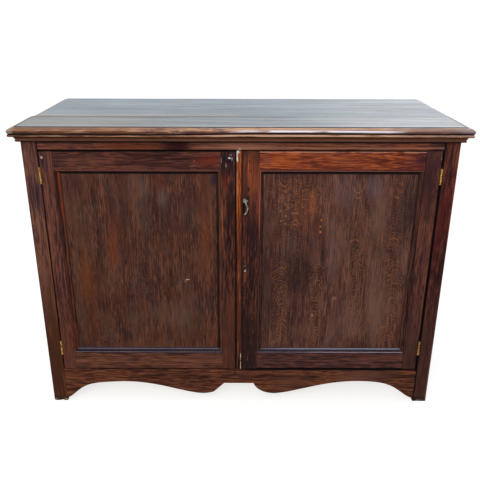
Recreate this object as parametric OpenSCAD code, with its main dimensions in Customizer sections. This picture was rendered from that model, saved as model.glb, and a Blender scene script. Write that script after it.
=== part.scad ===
// Oak sideboard with two framed and panelled doors, a moulded top and a scrolled apron.
// Millimetres, +Z up, front towards -Y. The origin is on the floor, in the middle of the overall box.

/* [Body] */
// Width of the body across the corner posts
body_w = 1300; // [1100:10:1700]
// Depth of the body from the front face to the outside of the back boards
body_d = 530; // [420:5:640]
// Height of the top's surface above the floor
top_z = 963; // [880:1:1080]
// Width of a corner post, seen from the front
post_w = 46; // [40:1:60]
// Depth of a corner post
post_d = 46; // [42:1:60]
// Wear at the outer front corner of the left foot
foot_wear = 5; // [0:0.5:8]
// Width of the chip in the left foot's lower edge
foot_chip_w = 16; // [8:0.5:24]
// Height of that chip
foot_chip_h = 3; // [1:0.5:5]

/* [Top] */
// Thickness of the top boards
top_t = 19; // [15:0.5:24]
// How far the top stands out at the front and the ends
overhang = 28; // [25:1:40]
// How far the top stands out at the back
back_overhang = 8; // [0:1:20]
// Width of the front board of the top, from its nose to the seam
front_board_w = 198; // [120:1:260]
// Width of the rounded nose, from the quirk to its tip
nose_w = 18.5; // [14:0.5:22]
// Drop of the nose's upper curve
nose_rise = 9; // [6:0.5:10]
// Depth of the quirk where the flat surface ends
quirk = 1.4; // [0.8:0.1:2]
// How far the back board stops short of the front board at the left end
back_short_left = 10; // [0:1:14]
// How far the back board stops short of the front board at the right end
back_short_right = 2; // [0:1:14]

/* [Bed moulding] */
// How far the bed moulding stands back from the tip of the nose
bed_setback = 0.5; // [0:0.5:3]
// Radius of the roll at the top of the moulding
roll_r = 4.5; // [3:0.5:5]
// Flat step between the roll and the cove
cove_step = 2; // [1:0.5:3]
// Radius of the cove
cove_r = 9; // [7:0.5:11]
// Radius of the bead below the cove
lower_bead_r = 4; // [3:0.5:4.5]

/* [Front frame] */
// Height of the frieze rail that shows and runs up to the top
frieze_h = 51; // [45:1:80]
// Open shoulder between the frieze rail and a post, as the old joint has shrunk
shoulder_gap = 1.2; // [0.2:0.1:2]
// Height of the apron's upper edge above the floor
apron_z = 131; // [115:1:160]
// Height of the flat in the middle of the apron's lower edge
apron_flat_h = 73; // [65:1:90]
// Half the length of that flat
apron_flat_half = 50.5; // [30:0.5:80]
// Height of the lowest point of a lobe
lobe_h = 31; // [26:1:50]
// Length of the right lobe's round side, from the flat to its lowest point
right_lobe_run = 72; // [50:1:100]
// Length of the left lobe's side, from the flat to its lowest point
left_lobe_run = 77; // [60:1:100]
// Length of the left lobe's lowest part, which is round below a straight slope
left_lobe_round = 41; // [30:1:50]
// Height of the end of that slope above the lowest point
left_lobe_rise = 7; // [4:0.5:12]
// Height of the right arch
right_arch_h = 82; // [76:1:95]
// Where the right arch is highest, as a distance from the lobe's lowest point
right_arch_run = 290; // [200:1:300]
// Height of the left arch
left_arch_h = 79; // [74:1:95]
// Where the left arch is highest, as a distance from the lobe's lowest point
left_arch_run = 268; // [200:1:300]
// Height of the apron's edge where it meets a post
apron_end_h = 12; // [10:1:24]
// How far the scroll is off centre
apron_shift = -4.5; // [-10:0.5:10]

/* [Doors] */
// Thickness of the door frames
door_t = 25; // [22:0.5:30]
// Room between the back of a door and the stop behind it
stop_gap = 0.5; // [0.3:0.1:1]
// Gap between a door and its post
hinge_gap = 2; // [1.5:0.1:3]
// Gap above the doors
head_gap = 2.5; // [1.5:0.1:4]
// Gap below the doors
foot_gap = 1.5; // [1:0.1:3]
// Where the doors meet, from the middle of the body
meeting_x = -13.5; // [-20:0.5:0]
// Gap between the doors
meeting_gap = 2; // [1.5:0.1:3]
// Width of the left door's stile at its hinges
left_hinge_stile_w = 42; // [38:0.5:60]
// Width of the left door's stile where the doors meet
left_meeting_stile_w = 45.5; // [44:0.5:60]
// Width of the right door's stile where the doors meet
right_meeting_stile_w = 52; // [48:0.5:65]
// Width of the right door's stile at its hinges
right_hinge_stile_w = 49.5; // [40:0.5:60]
// Height of the doors' top rails
door_top_rail_h = 59.5; // [50:0.5:80]
// Height of the doors' bottom rails
door_bottom_rail_h = 62; // [50:0.5:80]
// Thickness of the door panels
panel_t = 7; // [5:0.5:8]
// How far a panel lies behind the face of its door
panel_recess = 12; // [11:0.5:13]
// Depth of the grooves that hold the panels
groove_d = 9; // [7:0.5:11]
// Room for a panel to swell in each groove
panel_play = 1; // [0.5:0.1:2]
// Length of the door rails' tenons
door_tenon_l = 28; // [20:1:30]

/* [Panel moulding] */
// Width of the moulding round a door panel
mould_w = 14; // [12:0.5:18]
// How far the moulding's outer bead lies below the door's face
mould_drop = 0.8; // [0.4:0.1:1.5]
// Radius of the outer bead
outer_bead_r = 2.2; // [1.6:0.1:2.6]
// Radius of the inner bead, on the panel
inner_bead_r = 1.6; // [1.2:0.1:2]
// Open joint at each mitre
mitre_gap = 0.2; // [0.1:0.05:0.5]

/* [Meeting bead] */
// Width of the bead on the right door's leading edge
meeting_bead_w = 17; // [16:0.5:22]
// How far the bead stands in front of the door's face
meeting_bead_proud = 3; // [2:0.5:5]
// How deep the bead is let into the edge of the stile
meeting_bead_d = 10; // [7:0.5:11.5]
// Length of the split at the bead's lower end
split_l = 118; // [60:1:160]
// Width of the split at the bottom
split_w = 6.5; // [2:0.5:7]
// Wood left between the split and the leading edge
split_edge = 5.5; // [3:0.5:6]
// Height of the chip at the bead's upper end
bead_chip_l = 32; // [10:1:50]
// Width of that chip
bead_chip_w = 4.5; // [2:0.5:7]

/* [Hinges] */
// Length of a butt hinge
hinge_l = 50; // [40:1:64]
// Distance from the pin to the far edge of a leaf
leaf_w = 20; // [16:0.5:22]
// Thickness of a leaf
leaf_t = 1.5; // [1.2:0.1:2]
// Outer radius of a knuckle
knuckle_r = 2.8; // [2.6:0.1:3.4]
// How far the pin's centre stands in front of the door's face
pin_proud = 1.5; // [1:0.1:2.5]
// Radius of a hinge pin
pin_r = 1.25; // [1:0.05:1.5]
// From the top of a door to its upper hinge
hinge_inset_top = 52.5; // [40:0.5:90]
// From the bottom of a door to its lower hinge
hinge_inset_bottom = 56.5; // [40:0.5:90]
// Distance between the screws of a leaf
screw_pitch = 17; // [12:0.5:18]
// Radius of a screw's head
screw_head_r = 2.9; // [2.4:0.1:3.2]
// Radius of a screw's shank
screw_r = 1.6; // [1.2:0.1:2]
// Length of a screw
screw_l = 14; // [10:0.5:16]

/* [Lock] */
// Height of the middle of the keyhole above the floor
key_z = 510; // [450:1:570]
// Distance of the keyhole from the right door's leading edge
backset = 27; // [24:0.5:32]
// Overall height of the keyhole
keyhole_h = 14; // [12:0.5:16]
// Radius of the keyhole's round top
keyhole_r = 3; // [2.8:0.1:3.4]
// Width of the keyhole's slot
keyhole_slot = 4.8; // [4.6:0.1:5.4]
// Thickness of the brass liner of the keyhole
liner_t = 1; // [0.6:0.1:1.4]
// How deep the liner goes into the stile
liner_d = 6; // [4:0.5:8]
// Width of the lock case
lock_w = 50; // [46:1:60]
// Height of the lock case
lock_h = 60; // [54:1:70]
// Thickness of the lock case
lock_t = 12; // [11.5:0.5:13]
// Wall of the lock case
lock_wall = 1.8; // [1.2:0.1:2]
// Height of the lock's bolt above the keyhole
bolt_rise = 17; // [16:0.5:18]
// Height of the lock's bolt
bolt_h = 16; // [12:0.5:17]
// Thickness of the lock's bolt
bolt_t = 7; // [5:0.5:7]
// Length of the lock's bolt
bolt_l = 34; // [31:0.5:40]
// How far the lock's bolt shoots out
bolt_throw = 9; // [6:0.5:11]
// Width of the strike plate
strike_w = 11; // [10:0.5:11.5]
// Height of the strike plate
strike_h = 40; // [30:1:50]

/* [Pull] */
// Height of the pull's pivot above the floor
pull_z = 735; // [650:1:780]
// Distance of the pull from the right door's leading edge
pull_inset = 27; // [26:0.5:34]
// Radius of the pull's round plate
rose_r = 7.5; // [6:0.5:9]
// Thickness of the pull's round plate
rose_t = 1.6; // [1.2:0.1:2.4]
// Distance of the pull's pivot from the door's face
pull_reach = 6; // [5.5:0.1:8]
// Radius of the pull's eye
eye_r = 3; // [2.6:0.1:3.5]
// Thickness of the pull's eye
eye_t = 3.4; // [2.6:0.1:4]
// Radius of the pull's bar
stem_r = 2.2; // [1.6:0.1:2.4]
// Length of the drop below its pivot
drop_l = 42; // [30:1:55]
// How far the drop swings out to the side in its S
drop_swing = 7; // [3:0.5:10]

/* [Bolts] */
// Radius of the rods that bolt the left door
rod_r = 3.5; // [3:0.1:4]
// Length of a rod
rod_l = 84; // [80:1:100]
// Distance of the rods from the left door's leading edge
rod_inset = 22.5; // [18:0.5:26]
// Distance of a rod's centre from the back of the door
rod_off = 7; // [6:0.1:8]
// Gap between a rod's end and what it shoots into
rod_rest_gap = 2; // [1:0.1:3]
// How deep a rod goes in
rod_engage = 10; // [8:0.5:12]
// Width of a bolt's plate
bolt_plate_w = 16; // [14:0.5:20]
// Thickness of a bolt's plate
bolt_plate_t = 1.5; // [1:0.1:2]

/* [Ends] */
// Thickness of the end frames' rails
end_rail_t = 22; // [18:0.5:26]
// Thickness of the end panels
end_panel_t = 9; // [7:0.5:10]
// Height of the end frames' top rails
end_top_rail_h = 80; // [60:1:110]
// Height of the end frames' lower edge above the floor
end_bottom_z = 75; // [60:1:85]
// Height of the end frames' bottom rails
end_bottom_rail_h = 120; // [100:1:150]

/* [Back] */
// Thickness of the back boards
back_board_t = 12; // [9:0.5:15]
// Thickness of the rails at the back
back_rail_t = 22; // [18:0.5:25]
// Height of the upper rail at the back
rear_top_rail_h = 80; // [60:1:110]
// Height of the back boards' lower edge above the floor
back_z = 60; // [40:1:80]
// Height of the lower rail at the back
rear_bottom_rail_h = 80; // [72:1:110]
// Width of the rebate in the rear posts
back_rebate = 12; // [8:0.5:16]
// Gap between two back boards
back_seam = 0.6; // [0.3:0.1:1.5]
// Length of a back board's tongue
tongue_l = 5; // [4:0.5:7]
// Thickness of a back board's tongue
tongue_t = 4; // [3:0.5:5]

/* [Inside] */
// Thickness of the shelf and of the bottom
board_t = 18; // [15:0.5:22]
// Height of the shelf's upper face above the floor
shelf_z = 509; // [420:1:600]
// Distance of the shelf's front edge from the face of the doors
shelf_setback = 60; // [55:1:120]
// Width of a bearer
bearer_w = 18; // [14:0.5:24]
// Height of a bearer
bearer_h = 25; // [18:0.5:28]
// Thickness of the strip that stops the doors
stop_t = 18; // [16:0.5:22]
// Height of that strip
stop_h = 30; // [24:1:40]
// How far the strip hangs below the frieze rail
stop_drop = 12; // [9:0.5:16]
// Leg of a glue block's triangle
block_leg = 22; // [18:0.5:28]
// Length of a glue block
block_l = 60; // [40:1:90]

/* [Fits] */
// Clearance round a tenon, a board's edge or a let-in plate
fit = 0.15; // [0.1:0.05:0.3]
// Clearance of a pin or a rod that turns or slides
running = 0.05; // [0.03:0.01:0.08]
// Clearance round the lock's bolt, in its case and in the strike
bolt_slack = 0.3; // [0.3:0.05:0.5]
// Clearance between a knuckle and what is next to it
knuckle_slack = 0.4; // [0.35:0.05:0.6]
// Thickness of the carcase rails' tenons
tenon_t = 9; // [8:0.5:10]
// Length of the front and back rails' tenons
tenon_l = 25; // [20:1:27]
// Length of the end rails' tenons
end_tenon_l = 21; // [16:1:23]
// Shoulder above and below a tenon
tenon_shoulder = 10; // [8:0.5:12]

/* [Hidden] */
$fn = 48;
eps = 1;                                     // how far a cut runs past the surface it opens
front_y = overhang - (overhang + body_d + back_overhang) / 2;
under_top = top_z - top_t;
inner_half = body_w / 2 - post_w;            // from the middle to the inner side of a post
frame_t = door_t + stop_gap;                 // frieze rail and apron
frieze_z = under_top - frieze_h;
bed_w = overhang - bed_setback;
lower_bead_w = bed_w - roll_r - cove_step - cove_r;
bed_h = 2 * roll_r + cove_r + 2 * lower_bead_r;
tenon_forward = 3;                           // of the front rails, so that they miss the end tenons
carcase_tenon_y = (frame_t - tenon_t) / 2 - tenon_forward;
end_plane = body_w / 2 - end_rail_t / 2;     // middle of the end frames' thickness
end_top_rail_z = under_top - end_top_rail_h;
end_bottom_rail_top = end_bottom_z + end_bottom_rail_h;
rear_post_y = body_d - post_d;
boards_y = body_d - back_board_t;
back_rail_y = boards_y - back_rail_t;
back_board_count = 5;
back_board_pitch = 2 * (inner_half + back_rebate) / back_board_count;

door_x1 = inner_half - hinge_gap;            // edge of a door at its hinges, in its own hand
door_z0 = apron_z + foot_gap;
door_z1 = frieze_z - head_gap;
right_lead = meeting_x + meeting_gap / 2;    // leading edge of the right door's bead
right_meet = right_lead + meeting_bead_w;    // where the right door's stile shows beside its bead
left_meet = meeting_gap / 2 - meeting_x;     // the left door's leading edge, mirrored to the right
panel_slot = panel_t + 2 * running;
opening_z0 = door_z0 + door_bottom_rail_h;
opening_z1 = door_z1 - door_top_rail_h;

axis_x = inner_half - hinge_gap / 2;
hinge_zs = [door_z0 + hinge_inset_bottom + hinge_l / 2, door_z1 - hinge_inset_top - hinge_l / 2];
knuckle_count = 5;
knuckle_l = hinge_l / knuckle_count;
screw_y = leaf_w * 0.6;
screw_sink = screw_head_r - screw_r;
screw_point_l = 3;
screw_tip_r = 0.3;

key_x = right_lead + backset;
bolt_y = door_t - lock_t / 2;
bolt_z = key_z + bolt_rise;
lock_mid_z = key_z + 5;
strike_t = 1.5;
key_post_z = key_z + keyhole_h / 2 - keyhole_r;
key_chamber_r = 11.5;                        // room for the key's bit, which reaches as far as the slot
key_post_r = 1.2;
talon_r = 4.5;                               // notch in the bolt for the key's bit
liner_proud = 0.4;

pull_x = right_lead + pull_inset;
ear_t = 1.5;
eye_gap = 0.4;                               // between the eye and an ear
pull_pin_r = 1;
spigot_r = 2.5;
spigot_l = 18;
tail_ball_r = 1.9;

rod_x = left_meet + rod_inset;
rod_y = door_t + rod_off;
rod_running = 0.08;
staple_h = 6;
staple_w = 12;
plate_from_tip = 4;
plate_l = 64;
knob_r = 3.5;
knob_stem_r = 2.5;
knob_stem_l = 7;                             // beyond the rod's surface
knob_from_tip = plate_from_tip + plate_l - staple_h - knob_r;
top_tip_z = frieze_z - stop_drop - rod_rest_gap;
bottom_tip_z = apron_z + rod_rest_gap;
shelf_half = end_plane - end_panel_t / 2 - 0.5;
end_block_ys = [0.3 * body_d, 0.7 * body_d]; // middles of the glue blocks at the ends

OAK_TOP = "#8f8a86";
OAK_EDGE = "#8a6a4d";
OAK_FRAME = "#5a3a2c";
OAK_DOOR = "#4e3129";
OAK_PANEL = "#46302a";
OAK_BEAD = "#7d4123";
PINE = "#9a7a55";
BRASS = "#b8924c";
IRON = "#6d6a62";

// Sub-parts are drawn with Y = 0 on the front face of the posts, and placed by this module
module placed() { translate([0, front_y, 0]) children(); }

module mirrored() { mirror([1, 0, 0]) children(); }

module both_sides() { children(); mirrored() children(); }

// A box from one corner to the other, grown by a clearance on each axis
module box(lo, hi, grow = [0, 0, 0]) { translate(lo - grow) cube(hi - lo + 2 * grow); }

// Points of an ellipse's arc
function arc(cx, cy, rx, ry, a0, a1, n = 12) =
  [for (i = [0 : n]) let (a = a0 + (a1 - a0) * i / n) [cx + rx * cos(a), cy + ry * sin(a)]];

// Draws a section, given as distance outwards and height, along a length in X
module run_x(length) { rotate([90, 0, 90]) linear_extrude(length) children(); }

// Nose of the top, as distance from its tip and height
function nose_points() = concat(
  [[-nose_w, top_z], [-nose_w, top_z - quirk]],
  arc(-nose_w, top_z - quirk - nose_rise, nose_w, nose_rise, 90, 0),
  arc(-roll_r, top_z - quirk - nose_rise, roll_r, top_t - quirk - nose_rise, 0, -90)
);

module nosed_slab() {
  half = body_w / 2 + overhang;
  back = body_d + back_overhang;
  side = [for (p = nose_points()) [half + p[0], p[1]]];
  other_side = [for (i = [len(side) - 1 : -1 : 0]) [-side[i][0], side[i][1]]];
  front = [for (p = nose_points()) [-overhang - p[0], p[1]]];
  intersection() {
    translate([0, back, 0]) rotate([90, 0, 0]) linear_extrude(back + overhang)
      polygon(concat(other_side, side));
    translate([-half, 0, 0]) run_x(2 * half)
      polygon(concat(front, [[back, under_top], [back, top_z]]));
  }
}

module top_front_board() {
  half = body_w / 2 + overhang;
  seam = front_board_w - overhang;
  color(OAK_TOP) placed() intersection() {
    nosed_slab();
    box([-half - eps, -overhang - eps, under_top - eps], [half + eps, seam, top_z + eps]);
  }
}

// The back board's ends carry the same nose, moved in by the amounts that it is short
module top_back_board() {
  half = body_w / 2 + overhang;
  seam = front_board_w - overhang;
  back = body_d + back_overhang;
  cut = [for (p = nose_points()) [half - back_short_right + p[0], p[1]]];
  left = [for (i = [len(cut) - 1 : -1 : 0])
    [-(cut[i][0] - back_short_left + back_short_right), cut[i][1]]];
  color(OAK_TOP) placed()
    translate([0, back, 0]) rotate([90, 0, 0]) linear_extrude(back - seam)
      polygon(concat(left, cut));
}

// Bed moulding's section: a roll, a cove and a bead, as distance outwards and height
module bed_section() {
  roll_x = bed_w - roll_r;
  cove_x = roll_x - cove_step;
  cove_z = under_top - 2 * roll_r;
  bead_x = lower_bead_w - lower_bead_r;
  bead_z = cove_z - cove_r - lower_bead_r;
  polygon(concat(
    [[0, under_top]],
    arc(roll_x, under_top - roll_r, roll_r, roll_r, 90, -90),
    arc(cove_x, cove_z - cove_r, cove_r, cove_r, 90, 180),
    arc(bead_x, bead_z, lower_bead_r, lower_bead_r, 90, -90),
    [[0, under_top - bed_h]]
  ));
}

module bed_moulding_front() {
  half = body_w / 2;
  color(OAK_EDGE) placed() intersection() {
    translate([-half - bed_w, 0, 0]) run_x(2 * (half + bed_w)) mirror([1, 0]) bed_section();
    translate([0, 0, under_top - bed_h - eps]) linear_extrude(bed_h + 2 * eps)
      polygon([[-half - bed_w, -bed_w], [half + bed_w, -bed_w], [half, 0], [-half, 0]]);
  }
}

module bed_moulding_end() {
  half = body_w / 2;
  color(OAK_EDGE) placed() intersection() {
    translate([half, body_d, 0]) rotate([90, 0, 0]) linear_extrude(body_d + bed_w) bed_section();
    translate([0, 0, under_top - bed_h - eps]) linear_extrude(bed_h + 2 * eps)
      polygon([[half, 0], [half + bed_w, -bed_w], [half + bed_w, body_d], [half, body_d]]);
  }
}

module bed_moulding_right() { bed_moulding_end(); }
module bed_moulding_left() { mirrored() bed_moulding_end(); }

// Tenons, each drawn from its shoulder; the mortises are the same boxes grown by the fit
module frieze_tenon(grow = 0) {
  box([inner_half - shoulder_gap, carcase_tenon_y, frieze_z + tenon_shoulder],
      [inner_half + tenon_l, carcase_tenon_y + tenon_t, under_top - tenon_shoulder], grow * [1, 1, 1]);
}

module apron_tenon(grow = 0) {
  box([inner_half - fit, carcase_tenon_y, apron_end_h + tenon_shoulder],
      [inner_half + tenon_l, carcase_tenon_y + tenon_t, apron_z - tenon_shoulder], grow * [1, 1, 1]);
}

module end_tenons(grow = 0) {
  spans = [[end_top_rail_z, under_top], [end_bottom_z, end_bottom_rail_top]];
  for (span = spans)
    box([end_plane - tenon_t / 2, post_d - end_tenon_l, span[0] + tenon_shoulder],
        [end_plane + tenon_t / 2, rear_post_y + end_tenon_l, span[1] - tenon_shoulder], grow * [1, 1, 1]);
}

module rear_tenons(grow = 0) {
  spans = [[under_top - rear_top_rail_h, under_top], [back_z, back_z + rear_bottom_rail_h]];
  for (span = spans)
    box([inner_half - fit, back_rail_y + (back_rail_t - tenon_t) / 2, span[0] + tenon_shoulder],
        [inner_half + tenon_l, back_rail_y + (back_rail_t + tenon_t) / 2, span[1] - tenon_shoulder],
        grow * [1, 1, 1]);
}

// Groove that holds an end panel, run round the end frame
module end_groove() {
  t = end_panel_t / 2 + running;
  box([end_plane - t, post_d - groove_d, end_bottom_rail_top - groove_d],
      [end_plane + t, rear_post_y + groove_d, end_top_rail_z + groove_d]);
}

module front_post() {
  difference() {
    box([inner_half, 0, 0], [body_w / 2, post_d, under_top]);
    frieze_tenon(fit);
    apron_tenon(fit);
    end_tenons(fit);
    end_groove();
    hinge_seats(1);
  }
}

module front_post_right() { color(OAK_FRAME) placed() front_post(); }

module front_post_left() {
  color(OAK_FRAME) placed() difference() {
    mirrored() front_post();
    translate([-body_w / 2, 0, 0]) rotate([0, 45, 0]) cube([foot_wear, 2 * foot_wear, foot_wear], center = true);
    translate([-inner_half - 0.4 * post_w, post_w / 4, 0]) rotate([90, 0, 0]) linear_extrude(post_w / 4 + eps)
      polygon([[-foot_chip_w / 2, -eps], [foot_chip_w / 2, -eps],
               [foot_chip_w / 4, foot_chip_h], [-foot_chip_w / 4, foot_chip_h * 0.7]]);
  }
}

module rear_post() {
  color(OAK_FRAME) placed() difference() {
    box([inner_half, rear_post_y, 0], [body_w / 2, body_d, under_top]);
    end_tenons(fit);
    rear_tenons(fit);
    end_groove();
    box([inner_half - eps, boards_y, back_z], [inner_half + back_rebate, body_d + eps, under_top + eps]);
  }
}

module rear_post_right() { rear_post(); }
module rear_post_left() { mirrored() rear_post(); }

module frieze_rail() {
  half = inner_half - shoulder_gap;
  color(OAK_FRAME) placed() {
    box([-half, 0, frieze_z], [half, frame_t, under_top]);
    both_sides() frieze_tenon();
  }
}

// Lower edge of the apron from its middle to a post, as distance and height. The two sides were sawn by eye:
// the right lobe is nearly a quarter round, and the left one a straight slope with a shallow round below it.
function arch_in(t) = pow(sin(90 * pow(t, 0.78)), 2);
function arch_out(t, late) = 0.25 * pow(t, 1.5) + 0.75 * pow(sin(90 * pow(t, late)), 2);
function right_lobe() = let (round_z = (apron_flat_h - lobe_h) / (1 - sin(13)))
  arc(apron_flat_half + right_lobe_run, lobe_h + round_z, right_lobe_run / cos(13), round_z, 193, 270);
function left_lobe() = let (
  low_x = apron_flat_half + left_lobe_run,
  round_x = left_lobe_round / cos(45),
  round_z = left_lobe_rise / (1 - sin(45))
) concat(
  [[apron_flat_half, apron_flat_h]],
  arc(low_x, lobe_h + round_z, round_x, round_z, 225, 270, 8)
);
function scroll_points(lobe, reach, run, high, late, n = 16) = let (
  lobe_x = lobe[len(lobe) - 1][0],
  arch_x = lobe_x + run
) concat(
  lobe,
  [for (i = [1 : n]) [lobe_x + run * i / n, lobe_h + (high - lobe_h) * arch_in(i / n)]],
  [for (i = [1 : n]) [arch_x + (reach - arch_x) * i / n, high - (high - apron_end_h) * arch_out(i / n, late)]]
);

module apron() {
  half = inner_half - fit;
  right_side = scroll_points(right_lobe(), half - apron_shift, right_arch_run, right_arch_h, 2.2);
  left_side = scroll_points(left_lobe(), half + apron_shift, left_arch_run, left_arch_h, 3.1);
  right = [for (p = right_side) [p[0] + apron_shift, p[1]]];
  left = [for (i = [len(left_side) - 1 : -1 : 0]) [apron_shift - left_side[i][0], left_side[i][1]]];
  color(OAK_FRAME) placed() {
    translate([0, frame_t, 0]) rotate([90, 0, 0]) linear_extrude(frame_t)
      polygon(concat([[-half, apron_z]], left, right, [[half, apron_z]]));
    both_sides() apron_tenon();
  }
}

// A rail of an end frame between its posts, with the groove on the edge towards the panel
module end_rail(z0, z1) {
  color(OAK_FRAME) placed() difference() {
    union() {
      box([body_w / 2 - end_rail_t, post_d, z0], [body_w / 2, rear_post_y, z1]);
      intersection() {
        end_tenons();
        box([0, 0, z0], [body_w, body_d, z1]);
      }
    }
    end_groove();
  }
}

module right_end_top_rail() { end_rail(end_top_rail_z, under_top); }
module left_end_top_rail() { mirrored() right_end_top_rail(); }
module right_end_bottom_rail() { end_rail(end_bottom_z, end_bottom_rail_top); }
module left_end_bottom_rail() { mirrored() right_end_bottom_rail(); }

module right_end_panel() {
  reach = groove_d - panel_play;
  color(OAK_PANEL) placed()
    box([end_plane - end_panel_t / 2, post_d - reach, end_bottom_rail_top - reach],
        [end_plane + end_panel_t / 2, rear_post_y + reach, end_top_rail_z + reach]);
}

module left_end_panel() { mirrored() right_end_panel(); }

module rear_rail(z0, z1) {
  half = inner_half - fit;
  color(PINE) placed() {
    box([-half, back_rail_y, z0], [half, boards_y, z1]);
    both_sides() intersection() {
      rear_tenons();
      box([0, 0, z0], [body_w, body_d, z1]);
    }
  }
}

module rear_top_rail() { rear_rail(under_top - rear_top_rail_h, under_top); }
module rear_bottom_rail() { rear_rail(back_z, back_z + rear_bottom_rail_h); }

// Back board number i, with a tongue on its right edge and a groove in its left edge
module back_board(i) {
  x0 = -inner_half - back_rebate + i * back_board_pitch + back_seam / 2;
  x1 = x0 + back_board_pitch - back_seam;
  mid_y = boards_y + back_board_t / 2;
  color(PINE) placed() difference() {
    union() {
      box([x0, boards_y, back_z + fit], [x1, body_d, under_top - fit]);
      if (i < back_board_count - 1)
        box([x1 - eps, mid_y - tongue_t / 2, back_z + fit], [x1 + tongue_l, mid_y + tongue_t / 2, under_top - fit]);
    }
    if (i > 0)
      box([x0 - eps, mid_y - tongue_t / 2 - fit, 0], [x0 + tongue_l, mid_y + tongue_t / 2 + fit, top_z]);
  }
}

module back_board_1() { back_board(0); }
module back_board_2() { back_board(1); }
module back_board_3() { back_board(2); }
module back_board_4() { back_board(3); }
module back_board_5() { back_board(4); }

// Room round the four posts for a board that runs to the end frames
module post_notches() {
  both_sides() {
    box([inner_half - fit, -eps, 0], [body_w, post_d + fit, top_z]);
    box([inner_half - fit, rear_post_y - fit, 0], [body_w, body_d, top_z]);
  }
}

module bottom_board() {
  half = body_w / 2 - end_rail_t - fit;
  color(PINE) placed() difference() {
    box([-half, frame_t, apron_z - board_t], [half, back_rail_y, apron_z]);
    post_notches();
    translate([-rod_x, rod_y, 0]) cylinder(r = rod_r + bolt_slack, h = top_z);
  }
}

module bottom_bearers() {
  x1 = body_w / 2 - end_rail_t;
  color(PINE) placed() both_sides()
    box([x1 - bearer_w, post_d, apron_z - board_t - bearer_h], [x1, rear_post_y, apron_z - board_t]);
}

module shelf() {
  color(PINE) placed() difference() {
    box([-shelf_half, shelf_setback, shelf_z - board_t], [shelf_half, boards_y - fit, shelf_z]);
    post_notches();
  }
}

module shelf_bearers() {
  x1 = end_plane - end_panel_t / 2;
  color(PINE) placed() both_sides()
    box([x1 - bearer_w, post_d, shelf_z - board_t - bearer_h], [x1, rear_post_y, shelf_z - board_t]);
}

// A triangular block, its square corner along X under the top
module glue_block() {
  rotate([90, 0, 90]) linear_extrude(block_l, center = true)
    polygon([[0, 0], [block_leg, 0], [0, -block_leg]]);
}

module glue_blocks() {
  run = inner_half - block_l;
  color(PINE) placed() {
    for (i = [-2 : 2]) translate([i * run / 2, frame_t, under_top]) glue_block();
    both_sides() for (y = end_block_ys)
      translate([body_w / 2 - end_rail_t, y, under_top]) rotate([0, 0, 90]) glue_block();
  }
}

module door_stop() {
  half = inner_half - fit;
  color(PINE) placed() difference() {
    box([-half, frame_t, frieze_z - stop_drop], [half, frame_t + stop_t, frieze_z - stop_drop + stop_h]);
    translate([-rod_x, rod_y, 0]) cylinder(r = rod_r + bolt_slack, h = top_z);
  }
}

// Butt hinge: two let-in leaves with knuckles in turn on one pin; side is 1 at the post, -1 at the door
module at_hinges() { for (z = hinge_zs) translate([axis_x, -pin_proud, z]) children(); }

module along_x(x) { translate([x, 0, 0]) rotate([0, 90, 0]) children(); }

module at_screws() { for (i = [-1 : 1]) translate([0, screw_y, i * screw_pitch]) children(); }

// A countersunk wood screw that points along +X from the face of its leaf
module wood_screw(grow = 0) {
  along_x(hinge_gap / 2) {
    cylinder(r1 = screw_head_r + grow, r2 = screw_r + grow, h = screw_sink);
    cylinder(r = screw_r + grow, h = screw_l - screw_point_l + grow);
    translate([0, 0, screw_l - screw_point_l + grow])
      cylinder(r1 = screw_r + grow, r2 = screw_tip_r, h = screw_point_l);
  }
}

module hinge_leaf(side) {
  first = side > 0 ? 0 : 1;
  reach = knuckle_r + knuckle_slack;
  difference() {
    union() {
      difference() {
        mirror([side > 0 ? 0 : 1, 0, 0])
          box([hinge_gap / 2, 0, -hinge_l / 2], [hinge_gap / 2 + leaf_t, leaf_w, hinge_l / 2]);
        for (i = [1 - first : 2 : knuckle_count - 1])
          translate([-2 * knuckle_r, -eps, -hinge_l / 2 + i * knuckle_l])
            cube([4 * knuckle_r, reach + eps, knuckle_l]);
      }
      for (i = [first : 2 : knuckle_count - 1])
        translate([0, 0, -hinge_l / 2 + i * knuckle_l + knuckle_slack / 2])
          cylinder(r = knuckle_r, h = knuckle_l - knuckle_slack);
    }
    cylinder(r = pin_r + running, h = 2 * hinge_l, center = true);
    mirror([side > 0 ? 0 : 1, 0, 0]) at_screws() wood_screw(running);
  }
}

// Room in a post or a door for a leaf, the knuckles and the screws
module hinge_seats(side) {
  at_hinges() {
    cylinder(r = knuckle_r + knuckle_slack, h = hinge_l + 2 * fit, center = true);
    mirror([side > 0 ? 0 : 1, 0, 0]) {
      box([-hinge_gap, -2 * pin_proud, -hinge_l / 2 - fit],
          [hinge_gap / 2 + leaf_t, leaf_w + fit, hinge_l / 2 + fit]);
      at_screws() wood_screw(fit);
    }
  }
}

module hinge_screws(side) { at_hinges() mirror([side > 0 ? 0 : 1, 0, 0]) at_screws() wood_screw(); }

module post_hinge_leaves() { color(BRASS) placed() both_sides() at_hinges() hinge_leaf(1); }
module hinge_pins() {
  color(IRON) placed() both_sides() at_hinges() cylinder(r = pin_r, h = hinge_l, center = true);
}
module post_hinge_screws() { color(BRASS) placed() both_sides() hinge_screws(1); }

// Door parts are drawn for the right hand, from their edges; the left door mirrors them
module rail_tenon(x0, x1, z0, z1, grow = 0) {
  box([x0 - door_tenon_l, panel_recess, z0], [x1 + door_tenon_l, panel_recess + panel_t, z1],
      [grow, running, grow]);
}

function tenon_spans() = [
  [door_z0 + tenon_shoulder, opening_z0 - groove_d],
  [opening_z1 + groove_d, door_z1 - tenon_shoulder]
];

module door_mortises(x0, x1) { for (s = tenon_spans()) rail_tenon(x0, x1, s[0], s[1], fit); }

module door_groove(x0, x1) {
  box([x0 - groove_d, panel_recess - running, opening_z0 - groove_d],
      [x1 + groove_d, panel_recess - running + panel_slot, opening_z1 + groove_d]);
}

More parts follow.
